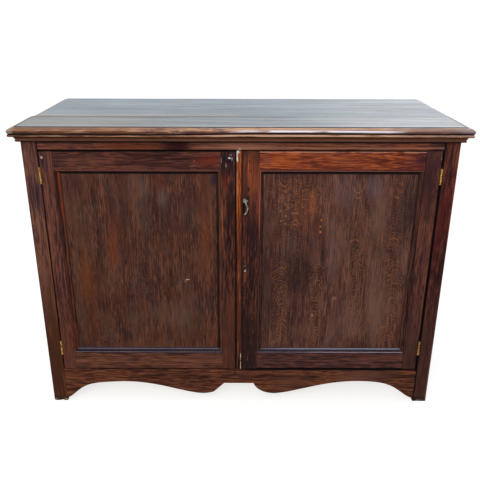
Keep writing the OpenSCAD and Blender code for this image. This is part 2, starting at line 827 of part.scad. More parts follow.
module stile(x0, x1, open0, open1) {
  difference() {
    box([x0, 0, door_z0], [x1, door_t, door_z1]);
    door_mortises(open0, open1);
    door_groove(open0, open1);
  }
}

module door_rail(x0, x1, z0, z1, span) {
  difference() {
    union() {
      box([x0, 0, z0], [x1, door_t, z1]);
      rail_tenon(x0, x1, span[0], span[1]);
    }
    box([x0 - eps, panel_recess - running, opening_z0 - groove_d],
        [x1 + eps, panel_recess - running + panel_slot, opening_z1 + groove_d]);
  }
}

module hinge_stile(meet, hinge_w, meeting_w) {
  difference() {
    stile(door_x1 - hinge_w, door_x1, meet + meeting_w, door_x1 - hinge_w);
    hinge_seats(-1);
  }
}

module meeting_stile(meet, hinge_w, meeting_w) {
  stile(meet, meet + meeting_w, meet + meeting_w, door_x1 - hinge_w);
}

module top_rail(x0, x1) { door_rail(x0, x1, opening_z1, door_z1, tenon_spans()[1]); }
module bottom_rail(x0, x1) { door_rail(x0, x1, door_z0, opening_z0, tenon_spans()[0]); }

module door_panel(x0, x1) {
  reach = groove_d - panel_play;
  box([x0 - reach, panel_recess, opening_z0 - reach],
      [x1 + reach, panel_recess + panel_t, opening_z1 + reach]);
}

// Section of the panel moulding: distance from the frame and height above the panel
function mould_points() = let (
  top = panel_recess - mould_drop,
  hollow_x = 2 * outer_bead_r,
  hollow_h = top - outer_bead_r - 1,
  inner_x = mould_w - 2 * inner_bead_r,
  inner_h = inner_bead_r + 1
) concat(
  [[0, 0]],
  arc(outer_bead_r, top - outer_bead_r, outer_bead_r, outer_bead_r, 180, 0, 8),
  arc(inner_x, hollow_h, inner_x - hollow_x, hollow_h - inner_h, 180, 270, 8),
  arc(mould_w - inner_bead_r, inner_bead_r, inner_bead_r, inner_bead_r, 180, 0, 8),
  [[mould_w, 0]]
);

// One mitred length along X, growing towards +Z, on the panel's face
module mitred_length(length) {
  intersection() {
    run_x(length) polygon([for (p = mould_points()) [-p[1], p[0]]]);
    rotate([90, 0, 0]) linear_extrude(2 * panel_recess, center = true)
      polygon([[mitre_gap, 0], [length - mitre_gap, 0],
               [length - mitre_gap - mould_w, mould_w], [mitre_gap + mould_w, mould_w]]);
  }
}

module panel_moulding(x0, x1) {
  w = x1 - x0;
  h = opening_z1 - opening_z0;
  translate([x0, panel_recess, opening_z0]) {
    mitred_length(w);
    translate([0, 0, h]) mirror([0, 0, 1]) mitred_length(w);
    mirror([1, 0, -1]) mitred_length(h);
    translate([w, 0, 0]) mirrored() mirror([1, 0, -1]) mitred_length(h);
  }
}

left_open0 = left_meet + left_meeting_stile_w;
left_open1 = door_x1 - left_hinge_stile_w;
right_open0 = right_meet + right_meeting_stile_w;
right_open1 = door_x1 - right_hinge_stile_w;

module left_door_hinge_stile() {
  color(OAK_DOOR) placed() mirrored() hinge_stile(left_meet, left_hinge_stile_w, left_meeting_stile_w);
}

module strike_box(grow = 0) {
  box([left_meet, bolt_y - strike_w / 2, bolt_z - strike_h / 2],
      [left_meet + strike_t, bolt_y + strike_w / 2, bolt_z + strike_h / 2], [0, grow, grow]);
}

// Path of the lock's bolt from its retracted place to its full throw, in the right door
module bolt_path(x0, x1) {
  box([x0, bolt_y - bolt_t / 2, bolt_z - bolt_h / 2], [x1, bolt_y + bolt_t / 2, bolt_z + bolt_h / 2],
      bolt_slack * [1, 1, 1]);
}

module left_door_meeting_stile() {
  color(OAK_DOOR) placed() difference() {
    mirrored() meeting_stile(left_meet, left_hinge_stile_w, left_meeting_stile_w);
    mirrored() strike_box(fit);
    mirrored() translate([-eps, 0, 0]) strike_box(fit);
    bolt_path(right_lead - bolt_throw - bolt_slack, right_lead);
  }
}

module left_door_top_rail() { color(OAK_DOOR) placed() mirrored() top_rail(left_open0, left_open1); }
module left_door_bottom_rail() { color(OAK_DOOR) placed() mirrored() bottom_rail(left_open0, left_open1); }
module left_door_panel() { color(OAK_PANEL) placed() mirrored() door_panel(left_open0, left_open1); }
module left_door_moulding() { color(OAK_DOOR) placed() mirrored() panel_moulding(left_open0, left_open1); }
module left_door_hinge_leaves() { color(BRASS) placed() mirrored() at_hinges() hinge_leaf(-1); }
module left_door_hinge_screws() { color(BRASS) placed() mirrored() hinge_screws(-1); }

module strike_plate() {
  color(BRASS) placed() difference() {
    mirrored() strike_box();
    bolt_path(right_lead - bolt_throw, right_lead);
  }
}

// Bolt of the left door, drawn from its tip downwards
module bolt_rod() {
  translate([0, 0, -rod_l]) cylinder(r = rod_r, h = rod_l);
  translate([0, 0, -knob_from_tip]) rotate([-90, 0, 0]) cylinder(r = knob_stem_r, h = rod_r + knob_stem_l);
  translate([0, rod_r + knob_stem_l + knob_r / 2, -knob_from_tip]) sphere(r = knob_r);
}

module bolt_plate() {
  back = -rod_off;
  staple_y = rod_r + 2.5;
  difference() {
    union() {
      box([-bolt_plate_w / 2, back, -plate_from_tip - plate_l], [bolt_plate_w / 2, back + bolt_plate_t, -plate_from_tip]);
      for (z = [-plate_from_tip - plate_l, -plate_from_tip - staple_h])
        box([-staple_w / 2, back, z], [staple_w / 2, staple_y, z + staple_h]);
    }
    translate([0, 0, -2 * rod_l]) cylinder(r = rod_r + rod_running, h = 3 * rod_l);
  }
}

module at_top_bolt() { translate([-rod_x, rod_y, top_tip_z]) children(); }
module at_bottom_bolt() { translate([-rod_x, rod_y, bottom_tip_z]) mirror([0, 0, 1]) children(); }

module bolt_plates() {
  color(BRASS) placed() {
    at_top_bolt() bolt_plate();
    at_bottom_bolt() bolt_plate();
  }
}

module top_bolt() { color(BRASS) placed() at_top_bolt() bolt_rod(); }
module bottom_bolt() { color(BRASS) placed() at_bottom_bolt() bolt_rod(); }

module right_door_hinge_stile() {
  color(OAK_DOOR) placed() hinge_stile(right_meet, right_hinge_stile_w, right_meeting_stile_w);
}

// Keyhole's outline, as X and height from its middle
module keyhole_shape(grow = 0) {
  translate([0, keyhole_h / 2 - keyhole_r]) circle(r = keyhole_r + grow);
  translate([-keyhole_slot / 2 - grow, -keyhole_h / 2 - grow])
    square([keyhole_slot + 2 * grow, keyhole_h - keyhole_r + grow]);
}

module keyhole(y0, y1, grow = 0) {
  translate([key_x, y1, key_z]) rotate([90, 0, 0]) linear_extrude(y1 - y0) keyhole_shape(grow);
}

function lock_lo() = [right_lead, door_t - lock_t, lock_mid_z - lock_h / 2];
function lock_hi() = [right_lead + lock_w, door_t, lock_mid_z + lock_h / 2];

// Room for the lock case, open at the back and at the leading edge
module lock_recess() { box(lock_lo() - [eps, 0, 0], lock_hi() + [0, eps, 0], [0, 0, fit] + [fit, 0, 0]); }

module right_door_meeting_stile() {
  color(OAK_DOOR) placed() difference() {
    stile(right_lead, right_open0, right_open0, right_open1);
    box([right_lead - eps, -eps, door_z0 - eps], [right_meet, meeting_bead_d, door_z1 + eps]);
    lock_recess();
    keyhole(-eps, door_t);
    keyhole(-eps, liner_d, liner_t + fit);
    translate([pull_x, 0, pull_z]) rotate([-90, 0, 0]) cylinder(r = spigot_r + fit, h = 3 * spigot_l, center = true);
  }
}

module right_door_top_rail() { color(OAK_DOOR) placed() top_rail(right_open0, right_open1); }
module right_door_bottom_rail() { color(OAK_DOOR) placed() bottom_rail(right_open0, right_open1); }
module right_door_panel() { color(OAK_PANEL) placed() door_panel(right_open0, right_open1); }
module right_door_moulding() { color(OAK_DOOR) placed() panel_moulding(right_open0, right_open1); }
module right_door_hinge_leaves() { color(BRASS) placed() at_hinges() hinge_leaf(-1); }
module right_door_hinge_screws() { color(BRASS) placed() hinge_screws(-1); }

// Strip let into the right door's leading edge: its front is half round, its lower end is split and its upper
// corner chipped
module meeting_bead() {
  x0 = right_lead;
  x1 = right_meet;
  split_x = x0 + split_edge;
  color(OAK_BEAD) placed() difference() {
    translate([0, 0, door_z0]) linear_extrude(door_z1 - door_z0)
      polygon(concat([[x1, meeting_bead_d], [x0, meeting_bead_d]],
        [for (p = arc((x0 + x1) / 2, 0, meeting_bead_w / 2, meeting_bead_proud, 180, 0, 16)) [p[0], -p[1]]]));
    translate([0, door_t, 0]) rotate([90, 0, 0]) linear_extrude(2 * door_t)
      polygon([[split_x, door_z0 - eps], [split_x + split_w, door_z0 - eps], [split_x + split_w, door_z0 + split_l],
               [split_x + split_w * 0.6, door_z0 + split_l * 0.55], [split_x + split_w * 0.1, door_z0 + split_l * 0.25]]);
    translate([0, 1, 0]) rotate([90, 0, 0]) linear_extrude(meeting_bead_proud + 2)
      polygon([[x0 - eps, door_z1 + eps], [x0 - eps, door_z1 - bead_chip_l], [x0 + bead_chip_w * 0.5, door_z1 - bead_chip_l * 0.6],
               [x0 + bead_chip_w, door_z1 - bead_chip_l * 0.2], [x0 + bead_chip_w * 1.6, door_z1 + eps]]);
  }
}

module lock_case() {
  lo = lock_lo();
  hi = lock_hi();
  inner_y0 = door_t - lock_t + lock_wall;
  color(IRON) placed() {
    difference() {
      box(lo, hi);
      bolt_path(right_lead - eps, right_lead + bolt_slack + bolt_l);
      translate([key_x, door_t - lock_wall, key_post_z]) rotate([90, 0, 0])
        cylinder(r = key_chamber_r, h = door_t - lock_wall - inner_y0);
      keyhole(door_t - lock_t - eps, inner_y0 + eps);
    }
    translate([key_x, door_t - lock_wall / 2, key_post_z]) rotate([90, 0, 0])
      cylinder(r = key_post_r, h = lock_t - lock_wall);
  }
}

// The lock's bolt, drawn back so that its end is just inside the case; the key turns in its talon
module lock_bolt() {
  x0 = right_lead + bolt_slack;
  color(BRASS) placed() difference() {
    box([x0, bolt_y - bolt_t / 2, bolt_z - bolt_h / 2], [x0 + bolt_l, bolt_y + bolt_t / 2, bolt_z + bolt_h / 2]);
    translate([key_x, 0, bolt_z - bolt_h / 2]) rotate([-90, 0, 0]) cylinder(r = talon_r, h = 2 * door_t);
  }
}

module keyhole_liner() {
  color(BRASS) placed() difference() {
    keyhole(-liner_proud, liner_d, liner_t);
    keyhole(-eps, liner_d + eps);
  }
}

// Round plate with two ears and a riveted pin; the drop hangs on the pin
module pull_plate() {
  ear_x = eye_t / 2 + eye_gap;
  color(IRON) placed() translate([pull_x, 0, pull_z]) {
    rotate([90, 0, 0]) cylinder(r = rose_r, h = rose_t);
    rotate([-90, 0, 0]) cylinder(r = spigot_r, h = spigot_l);
    both_sides() {
      box([ear_x, -pull_reach, -eye_r], [ear_x + ear_t, 0, eye_r]);
      translate([ear_x, -pull_reach, 0]) rotate([0, 90, 0]) cylinder(r = eye_r, h = ear_t);
    }
    translate([0, -pull_reach, 0]) rotate([0, 90, 0]) cylinder(r = pull_pin_r, h = 2 * ear_x + ear_t, center = true);
  }
}

// Centre line of the drop below its eye, as [x, z], and the radius of its bar; s runs from 0 to 1
function drop_point(s) = [drop_swing * sin(190 * pow(s, 1.3)), -eye_r + 1 - (drop_l - eye_r + 1) * s];
function drop_radius(s) = stem_r * (0.72 + 0.4 * sin(180 * pow(s, 1.3)) - 0.12 * s);

// Rings of points round the centre line, each square to the line's direction
function drop_rings(count, sides) = [
  for (i = [0 : count]) let (
    s = i / count,
    c = drop_point(s),
    ahead = drop_point(min(s + 0.01, 1)) - drop_point(max(s - 0.01, 0)),
    n = i == 0 ? [1, 0] : [-ahead[1], ahead[0]] / norm(ahead)
  )
  for (k = [0 : sides - 1]) let (a = 360 * k / sides, r = drop_radius(s))
    [c[0] + r * cos(a) * n[0], r * sin(a), c[1] + r * cos(a) * n[1]]
];

// The drop: an eye on the pin, an S that swells and thins, and a small ball at the end
module drop_pull() {
  count = 24;
  sides = 12;
  last = count * sides;
  tail = drop_point(1);
  color(IRON) placed() translate([pull_x, -pull_reach, pull_z]) {
    difference() {
      rotate([0, 90, 0]) cylinder(r = eye_r, h = eye_t, center = true);
      rotate([0, 90, 0]) cylinder(r = pull_pin_r + running, h = 2 * eye_t, center = true);
    }
    polyhedron(drop_rings(count, sides), concat(
      [[for (k = [sides - 1 : -1 : 0]) k]],
      [[for (k = [0 : sides - 1]) last + k]],
      [for (i = [0 : count - 1]) for (k = [0 : sides - 1]) let (m = (k + 1) % sides)
        [i * sides + m, (i + 1) * sides + m, (i + 1) * sides + k, i * sides + k]]
    ));
    translate([tail[0], 0, tail[1]]) sphere(r = tail_ball_r);
  }
}

top_front_board();
top_back_board();
bed_moulding_front();
bed_moulding_left();
bed_moulding_right();
front_post_left();
front_post_right();
rear_post_left();
rear_post_right();
frieze_rail();
apron();
left_end_top_rail();
left_end_bottom_rail();
left_end_panel();
right_end_top_rail();
right_end_bottom_rail();
right_end_panel();
rear_top_rail();
rear_bottom_rail();
back_board_1();
back_board_2();
back_board_3();
back_board_4();
back_board_5();
bottom_board();
bottom_bearers();
shelf();
shelf_bearers();
glue_blocks();
door_stop();
post_hinge_leaves();
hinge_pins();
post_hinge_screws();
left_door_hinge_stile();
left_door_meeting_stile();
left_door_top_rail();
left_door_bottom_rail();
left_door_panel();
left_door_moulding();
left_door_hinge_leaves();
left_door_hinge_screws();
strike_plate();
bolt_plates();
top_bolt();
bottom_bolt();
right_door_hinge_stile();
right_door_meeting_stile();
right_door_top_rail();
right_door_bottom_rail();
right_door_panel();
right_door_moulding();
right_door_hinge_leaves();
right_door_hinge_screws();
meeting_bead();
lock_case();
lock_bolt();
keyhole_liner();
pull_plate();
drop_pull();
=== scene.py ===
import math

import bpy
from mathutils import Matrix, Vector


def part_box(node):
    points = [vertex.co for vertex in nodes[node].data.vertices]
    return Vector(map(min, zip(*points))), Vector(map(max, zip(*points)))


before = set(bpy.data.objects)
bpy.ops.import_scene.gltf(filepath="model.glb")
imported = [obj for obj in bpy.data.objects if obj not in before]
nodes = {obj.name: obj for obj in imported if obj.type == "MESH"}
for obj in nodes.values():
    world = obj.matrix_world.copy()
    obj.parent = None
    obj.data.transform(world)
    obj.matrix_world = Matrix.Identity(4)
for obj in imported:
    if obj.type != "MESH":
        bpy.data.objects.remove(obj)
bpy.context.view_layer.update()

# The object stands on the floor at Z = 0, its doors face -Y, and +X is to the right of someone facing them.
# Geometry is in metres. Places and sizes in the finishes are in millimetres, X and Z on the front unless
# said otherwise, and colours are given as they look on a screen.

MM = 0.001
PER_METRE = 1000

# Y of the front's face, and Z of the frieze's lower edge over the doors
FRONT = -255
FRIEZE_FOOT = 893

# Length and width of the broad, middle, narrow and finest streaks in each kind of grain
FRAME_GRAIN = ((300, 50), (220, 12), (140, 4.6), (36, 2.8))
PANEL_GRAIN = ((360, 60), (220, 16), (110, 3.4), (30, 2.4))
PINE_GRAIN = ((900, 70), (700, 22), (480, 9), (240, 6))
TOP_GRAIN = ((500, 60), (360, 24), (240, 13), (60, 12))

# How much each of these streaks counts in the pattern, the pattern's middle value and its spread
BROAD_SHARE, MIDDLE_SHARE, NARROW_SHARE, FIBRE_SHARE = 0.4, 0.45, 0.6, 0.85
PATTERN_MIDDLE = (BROAD_SHARE + MIDDLE_SHARE + NARROW_SHARE + FIBRE_SHARE) / 2
PATTERN_SPREAD = 2.8

# How high the grain of wood and the grime on metal stand, in metres
GRAIN_RELIEF = 0.0007
GRIME_RELIEF = 0.0003

# Colour of the painted shade in gaps, and width of the worn edges
GAP_BLACK = (8, 4, 4)
EDGE_WEAR = 0.8


def linear(channel):
    """How much light a screen gives for a channel from 0 to 255."""
    c = channel / 255
    return c / 12.92 if c <= 0.04045 else ((c + 0.055) / 1.055) ** 2.4


def tone(red, green, blue):
    return (linear(red), linear(green), linear(blue), 1.0)


def distance(a, b):
    return (a * a + b * b).root()


# Shader maths

class Wire:
    """A number, a colour or a vector on its way through a finish."""

    def __init__(self, web, socket):
        self.web = web
        self.socket = socket

    def __add__(self, other):
        return self.web.maths("ADD", self, other)

    def __sub__(self, other):
        return self.web.maths("SUBTRACT", self, other)

    def __rsub__(self, other):
        return self.web.maths("SUBTRACT", other, self)

    def __mul__(self, other):
        return self.web.maths("MULTIPLY", self, other)

    def __truediv__(self, other):
        return self.web.maths("DIVIDE", self, other)

    def __abs__(self):
        return self.web.maths("ABSOLUTE", self)

    __rmul__ = __mul__

    def least(self, other):
        return self.web.maths("MINIMUM", self, other)

    def sine(self):
        return self.web.maths("SINE", self)

    def root(self):
        return self.web.maths("SQRT", self)

    def step(self, start, end):
        """0 at start and 1 at end, smooth between them; start may be the larger."""
        low, high = sorted((start, end))
        rise = self.web.add("ShaderNodeMapRange", {"interpolation_type": "SMOOTHSTEP"},
                            {"Value": self, "From Min": low, "From Max": high})
        return 1 - rise if start > end else rise

    def band(self, start, end, soft):
        """1 between start and end."""
        return self.step(start - soft, start) * self.step(end + soft, end)


class Web:
    """A tree of shader nodes."""

    def __init__(self, tree):
        self.tree = tree
        self.point = None

    def add(self, kind, settings, inputs, output=0):
        node = self.tree.nodes.new(kind)
        for name, value in settings.items():
            setattr(node, name, value)
        for name, value in inputs.items():
            self.feed(node.inputs[name], value)
        return Wire(self, node.outputs[output])

    def feed(self, socket, value):
        if isinstance(value, Wire):
            self.tree.links.new(value.socket, socket)
        else:
            socket.default_value = value

    def maths(self, operation, first, second=0.0):
        return self.add("ShaderNodeMath", {"operation": operation}, {0: first, 1: second})

    def apart(self, vector):
        node = self.add("ShaderNodeSeparateXYZ", {}, {"Vector": vector}).socket.node
        return [Wire(self, node.outputs[axis]) for axis in "XYZ"]

    def place(self):
        """X, Y and Z of the point in the object's own coordinates, in millimetres."""
        if self.point is None:
            where = self.add("ShaderNodeTexCoord", {}, {}, "Object")
            self.point = [part * PER_METRE for part in self.apart(where)]
        return self.point

    def vector(self, x, y, z):
        return self.add("ShaderNodeCombineXYZ", {}, {"X": x, "Y": y, "Z": z})

    def noise_at(self, where, detail=2.0):
        return self.add("ShaderNodeTexNoise", {}, {
            "Vector": where, "Scale": 1.0, "Detail": detail, "Roughness": 0.55})

    def noise(self, size_x, size_y, size_z, detail=2.0, seed=0.0):
        """Soft noise about 0.5, whose features have these sizes in millimetres."""
        x, y, z = self.place()
        where = self.vector(x / size_x + seed, y / size_y + seed * 0.7, z / size_z - seed)
        return self.noise_at(where, detail)

    def ramp(self, factor, colours):
        node = self.tree.nodes.new("ShaderNodeValToRGB")
        elements = node.color_ramp.elements
        while len(elements) < len(colours):
            elements.new(0.5)
        for i, colour in enumerate(colours):
            elements[i].position = i / (len(colours) - 1)
            elements[i].color = colour
        self.feed(node.inputs["Fac"], factor)
        return Wire(self, node.outputs["Color"])

    def mix(self, factor, first, second, blend="MIX"):
        """first where factor is 0, second where it is 1."""
        settings = {"data_type": "RGBA", "blend_type": blend, "clamp_factor": True}
        node = self.add("ShaderNodeMix", settings, {0: factor}).socket.node
        self.feed(node.inputs[6], first)
        self.feed(node.inputs[7], second)
        return Wire(self, node.outputs[2])

    def scaled(self, colour, factor):
        """A colour made lighter or darker by a number that varies."""
        return self.mix(1.0, colour, self.vector(factor, factor, factor), "MULTIPLY")

    def bump(self, height, distance, strength):
        return self.add("ShaderNodeBump", {}, {
            "Height": height, "Distance": distance, "Strength": strength})


class Finish(Web):
    """A material whose pattern is worked out from the place on the object."""

    def __init__(self, name, **constants):
        self.material = bpy.data.materials.new(name)
        self.material.use_nodes = True
        super().__init__(self.material.node_tree)
        self.shader = self.tree.nodes["Principled BSDF"]
        self.set(**constants)

    def set(self, **values):
        for name, value in values.items():
            label = name.replace("_", " ").title().replace("Ior", "IOR")
            self.feed(self.shader.inputs[label], value)

    def dress(self, *names):
        for name in names:
            nodes[name].data.materials.clear()
            nodes[name].data.materials.append(self.material)


class Wood(Finish):
    """A piece of wood, with its grain along one axis. Oak has a coat of old polish, pine has none."""

    def __init__(self, name, board, along, across, seed, deep, mid, light, contrast=1.0, coat=0.13,
                 grain=FRAME_GRAIN, sway=12):
        """deep, mid and light are its tones; sway is how far its streaks wander to the sides."""
        super().__init__(name, coat_roughness=0.22, specular_ior_level=0.16)
        self.coat = coat
        self.shine = 1.0
        self.box = [[c * PER_METRE for c in corner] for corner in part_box(board)]
        self.x, self.y, self.z = self.place()
        self.axes = {"x": self.x, "y": self.y, "z": self.z}
        (through,) = set("xyz") - {along, across}
        # Each seed takes its pattern from another place
        self.long = self.axes[along] + seed * 131.7
        where = self.vector(self.long / 260, self.axes[across] / 90, self.axes[through] / 90)
        bend = self.noise_at(where) - 0.5
        self.side = self.axes[across] + seed * 37.3 + bend * sway
        self.through = self.axes[through] + seed * 17.1
        broad, middle, narrow, finest = grain
        self.broad = self.streaks(*broad)
        self.middle = self.streaks(*middle, 3, 3)
        self.narrow = self.streaks(*narrow)
        self.fibre = self.streaks(*finest, 1, 8.0)
        pattern = (self.broad * BROAD_SHARE + self.middle * MIDDLE_SHARE
                   + self.narrow * NARROW_SHARE + self.fibre * FIBRE_SHARE)
        self.colour = self.ramp((pattern - PATTERN_MIDDLE) * contrast * PATTERN_SPREAD + 0.5,
                                [tone(*deep), tone(*mid), tone(*light)])
        self.pits = self.streaks(26, 1.7, 1, 5.0).step(0.6, 0.7)
        self.colour = self.scaled(self.colour, 1 - self.pits * 0.35)

    def spot(self, x, z, half_x, half_z, soft=0.6, ragged=0.0):
        """1 inside an ellipse on the front and 0 outside, with a soft and ragged edge."""
        dx = (self.x - x) / half_x
        dz = (self.z - z) / half_z
        away = distance(dx, dz)
        if ragged:
            away = away + (self.noise(5, 5, 5) - 0.5) * ragged
        return away.step(1.0, 1.0 - soft)

    def streaks(self, length, width, detail=2.0, seed=0.0):
        """Soft noise drawn out along the grain; length and width in millimetres."""
        where = self.vector(self.long / length + seed, self.side / width - seed,
                            self.through / (width * 2))
        return self.noise_at(where, detail)

    def stain(self, mask, colour):
        """Another tone where the mask is 1."""
        self.colour = self.mix(mask, self.colour, tone(*colour))
        return self

    def shade(self, mask, strength):
        """Darker where the mask is 1, and black there with a strength of 1."""
        self.colour = self.scaled(self.colour, 1 - mask * strength)
        return self

    def matt(self, mask):
        """Where no polish is left."""
        self.shine = self.shine * (1 - mask)
        return self

    def veins(self, colour, length, width, start, strength, seed=3.0):
        """Streaks of another tone, fewer with a higher start."""
        mask = self.streaks(length, width, 2, seed).step(start, start + 0.13)
        return self.stain(mask * strength, colour)

    def clouds(self, colour, size, strength, seed, start=0.5):
        """Soft irregular areas in another tone, longer than wide."""
        mask = self.streaks(size * 2.5, size, 2, seed).step(start - 0.06, start + 0.2)
        return self.stain(mask * strength, colour)

    def patch(self, x, z, half_x, half_z, colour, strength, length=120, width=7):
        """A part of the piece in another tone, fading out in streaks along the grain."""
        mask = self.spot(x, z, half_x, half_z, 0.95)
        grain = self.streaks(length, width, 2, 7.0).step(0.3, 0.62) * 0.7 + 0.4
        return self.stain((mask * grain).least(1.0) * strength, colour)

    def fade(self, axis, start, end, colour, strength):
        """From nothing at start to this colour at end."""
        return self.stain(self.axes[axis].step(start, end) * strength, colour)

    def from_sides(self):
        """Distance to the piece's left, right, foot and head, as seen from the front."""
        (x0, _, z0), (x1, _, z1) = self.box
        return self.x - x0, x1 - self.x, self.z - z0, z1 - self.z

    def from_edges(self, axes):
        """Distance to the nearest side of the piece's box along the given axes."""
        nearest = None
        for axis in axes:
            i = "xyz".index(axis)
            for side in (self.axes[axis] - self.box[0][i], self.box[1][i] - self.axes[axis]):
                nearest = side if nearest is None else nearest.least(side)
        return nearest

    def grime(self, axes, width, strength):
        """Darker along the edges: dirt and old polish held there, and painted shade in the corners they
        make with other parts.
        """
        near = self.from_edges(axes) + (self.noise(30, 30, 30, 3) - 0.5) * width
        return self.shade(near.step(width, width * 0.2), strength)

    def dark_sides(self, strength=0.85):
        """The sides of a front piece, darkened with painted shade where they face a gap, and the polish
        taken off there.
        """
        back = self.box[1][1]
        inner = self.y.step(FRONT + 1.2, FRONT + 4) * self.y.step(back - 0.4, back - 3)
        return self.shade(inner, strength).matt(inner)

    def gap(self, axis, low, high, strength=0.95):
        """The black line beside a gap, a little uneven: painted shade of the gap, with the polish taken
        off.
        """
        at = self.axes[axis] + (self.streaks(90, 20, 2, 5.0) - 0.5) * 2.5
        line = at.band(low, high, 0.9) * strength
        return self.stain(line, GAP_BLACK).matt(line)

    def flecks(self, x, z, half_x, half_z, colour, strength, start=0.52):
        """Short level dashes, which cross the grain of an upright board."""
        dash = self.noise_at(self.vector(self.x / 11, self.y / 11, self.z / 3.6), 1)
        dash = dash.step(start, start + 0.1)
        return self.stain(self.spot(x, z, half_x, half_z, 0.9) * dash * strength, colour)

    def arcs(self, x, half, z_low, z_high, pitch, curve, colour, strength, share, breaks):
        """Ray figure: short arcs one above the other, bowed up where curve is positive.

        A larger share makes thicker lines, and larger breaks leave more of them out.
        """
        off = self.x - x + (self.noise(400, 400, 110, seed=x * 0.1) - 0.5) * 30
        wander = (self.noise(24, 24, 22, seed=x * 0.03) - 0.5) * pitch * 3.4
        wave = ((self.z + off * off * curve + wander) * (math.tau / pitch)).sine()
        lines = wave.step(1 - 2 * share, 0.95)
        ragged = abs(off) + (self.noise(20, 20, 12, seed=x * 0.05) - 0.5) * half * 1.6
        inside = ragged.step(half * 1.1, half * 0.7)
        span = self.z.step(z_low, z_low + 30) * self.z.step(z_high, z_high - 30)
        places = self.noise(13, 13, 15, seed=x * 0.07).step(breaks - 0.1, breaks + 0.1)
        return self.stain(lines * inside * span * places * strength, colour)

    def bow(self, x, z, half, drop, thick, colour, strength):
        """A single bowed line whose ends lie lower than its middle by drop."""
        off = (self.x - x) / half
        line = abs(self.z - z + off * off * drop).step(thick, thick * 0.3)
        return self.stain(line * abs(off).step(1.0, 0.85) * strength, colour)

    def whorl(self, x, z, stretch, reach, pitch, colour, strength, low=False):
        """Growth rings round a point, stretched upright; low keeps only the part under it."""
        dx = self.x - x
        dz = (self.z - z) / stretch
        away = distance(dx, dz) + (self.noise(25, 25, 40, seed=2.0) - 0.5) * pitch * 2
        mask = away.step(reach, reach * 0.5) * self.noise(20, 20, 20, seed=6.0).step(0.36, 0.56)
        if low:
            mask = mask * self.z.step(z + 6, z - 8)
        rings = (away * (math.tau / pitch)).sine().step(0.1, 0.9)
        return self.stain(rings * mask * strength, colour)

    def finish(self, roughness=0.42, relief=0.5, uneven=1.0):
        """Hands colour, roughness, polish and relief to the shader; uneven is how patchy the polish is."""
        height = self.narrow * 0.3 + self.middle * 0.3 + self.fibre * 0.3 - self.pits * 0.4
        dull = self.streaks(300, 22, 2, 2.0)
        self.set(base_color=self.colour, roughness=(dull - 0.5) * 0.3 + self.pits * 0.15 + roughness,
                 coat_weight=((dull.step(0.7, 0.3) - 0.5) * uneven + 0.8) * self.coat * self.shine,
                 normal=self.bump(height, GRAIN_RELIEF, relief))
        return self


# Front frame

def finish_frieze():
    oak = Wood("frieze_oak", "frieze_rail", "x", "z", 1,
               (54, 26, 22), (96, 52, 40), (136, 80, 54), contrast=1.3)
    oak.patch(-540, 905, 150, 40, (88, 52, 44), 0.5).patch(-330, 905, 150, 36, (86, 34, 14), 0.9)
    oak.patch(-190, 905, 100, 90, (42, 10, 11), 1.0, 200, 40).patch(-96, 905, 50, 40, (76, 40, 33), 0.6)
    oak.patch(10, 906, 140, 36, (138, 90, 68), 0.8)
    oak.patch(250, 906, 220, 34, (116, 62, 38), 0.5).patch(480, 906, 110, 30, (122, 58, 34), 0.6)
    oak.patch(590, 908, 50, 40, (52, 26, 30), 0.8)
    # A pale chip in the lower edge, over the meeting bead
    oak.stain(oak.spot(-3, 896, 5, 2.5, 0.6), (196, 170, 160))
    # Painted shade: the lower edge darker over the left door's wider gap
    oak.stain(oak.z.step(898, 895) * oak.x.step(20, -60) * 0.2, (50, 24, 20))
    oak.gap("z", 890, 893.2, oak.x.step(-8, -16))
    oak.stain(oak.z.band(898, 901, 1) * oak.x.step(-170, -100) * 0.5, (170, 116, 90))
    # Painted shadow along the head, under the bed moulding
    oak.shade(oak.z.step(911, 916), 0.7).dark_sides(0.95)
    oak.finish().dress("frieze_rail")


def finish_apron():
    oak = Wood("apron_oak", "apron", "x", "z", 2,
               (46, 24, 19), (86, 47, 33), (124, 72, 46), contrast=1.2)
    oak.veins((132, 64, 32), 160, 4, 0.56, 0.5).veins((36, 20, 19), 190, 5, 0.56, 0.7, 9.0)
    oak.patch(-560, 112, 110, 26, (104, 52, 30), 0.3).patch(0, 108, 90, 22, (62, 36, 29), 0.6)
    oak.patch(430, 100, 150, 44, (96, 60, 50), 0.8).patch(170, 80, 110, 50, (92, 56, 42), 0.5)
    oak.stain(oak.spot(-19, 116, 4, 10, 0.7, 0.6), (22, 14, 15))
    oak.gap("z", 128.5, 135, 0.6).gap("z", 126.5, 135, oak.x.step(-20, 30) * 0.95)
    # Painted shade on the top, back and ends, behind the front face
    oak.shade(oak.y.step(FRONT + 1, FRONT + 5), 0.6)
    oak.finish().dress("apron")


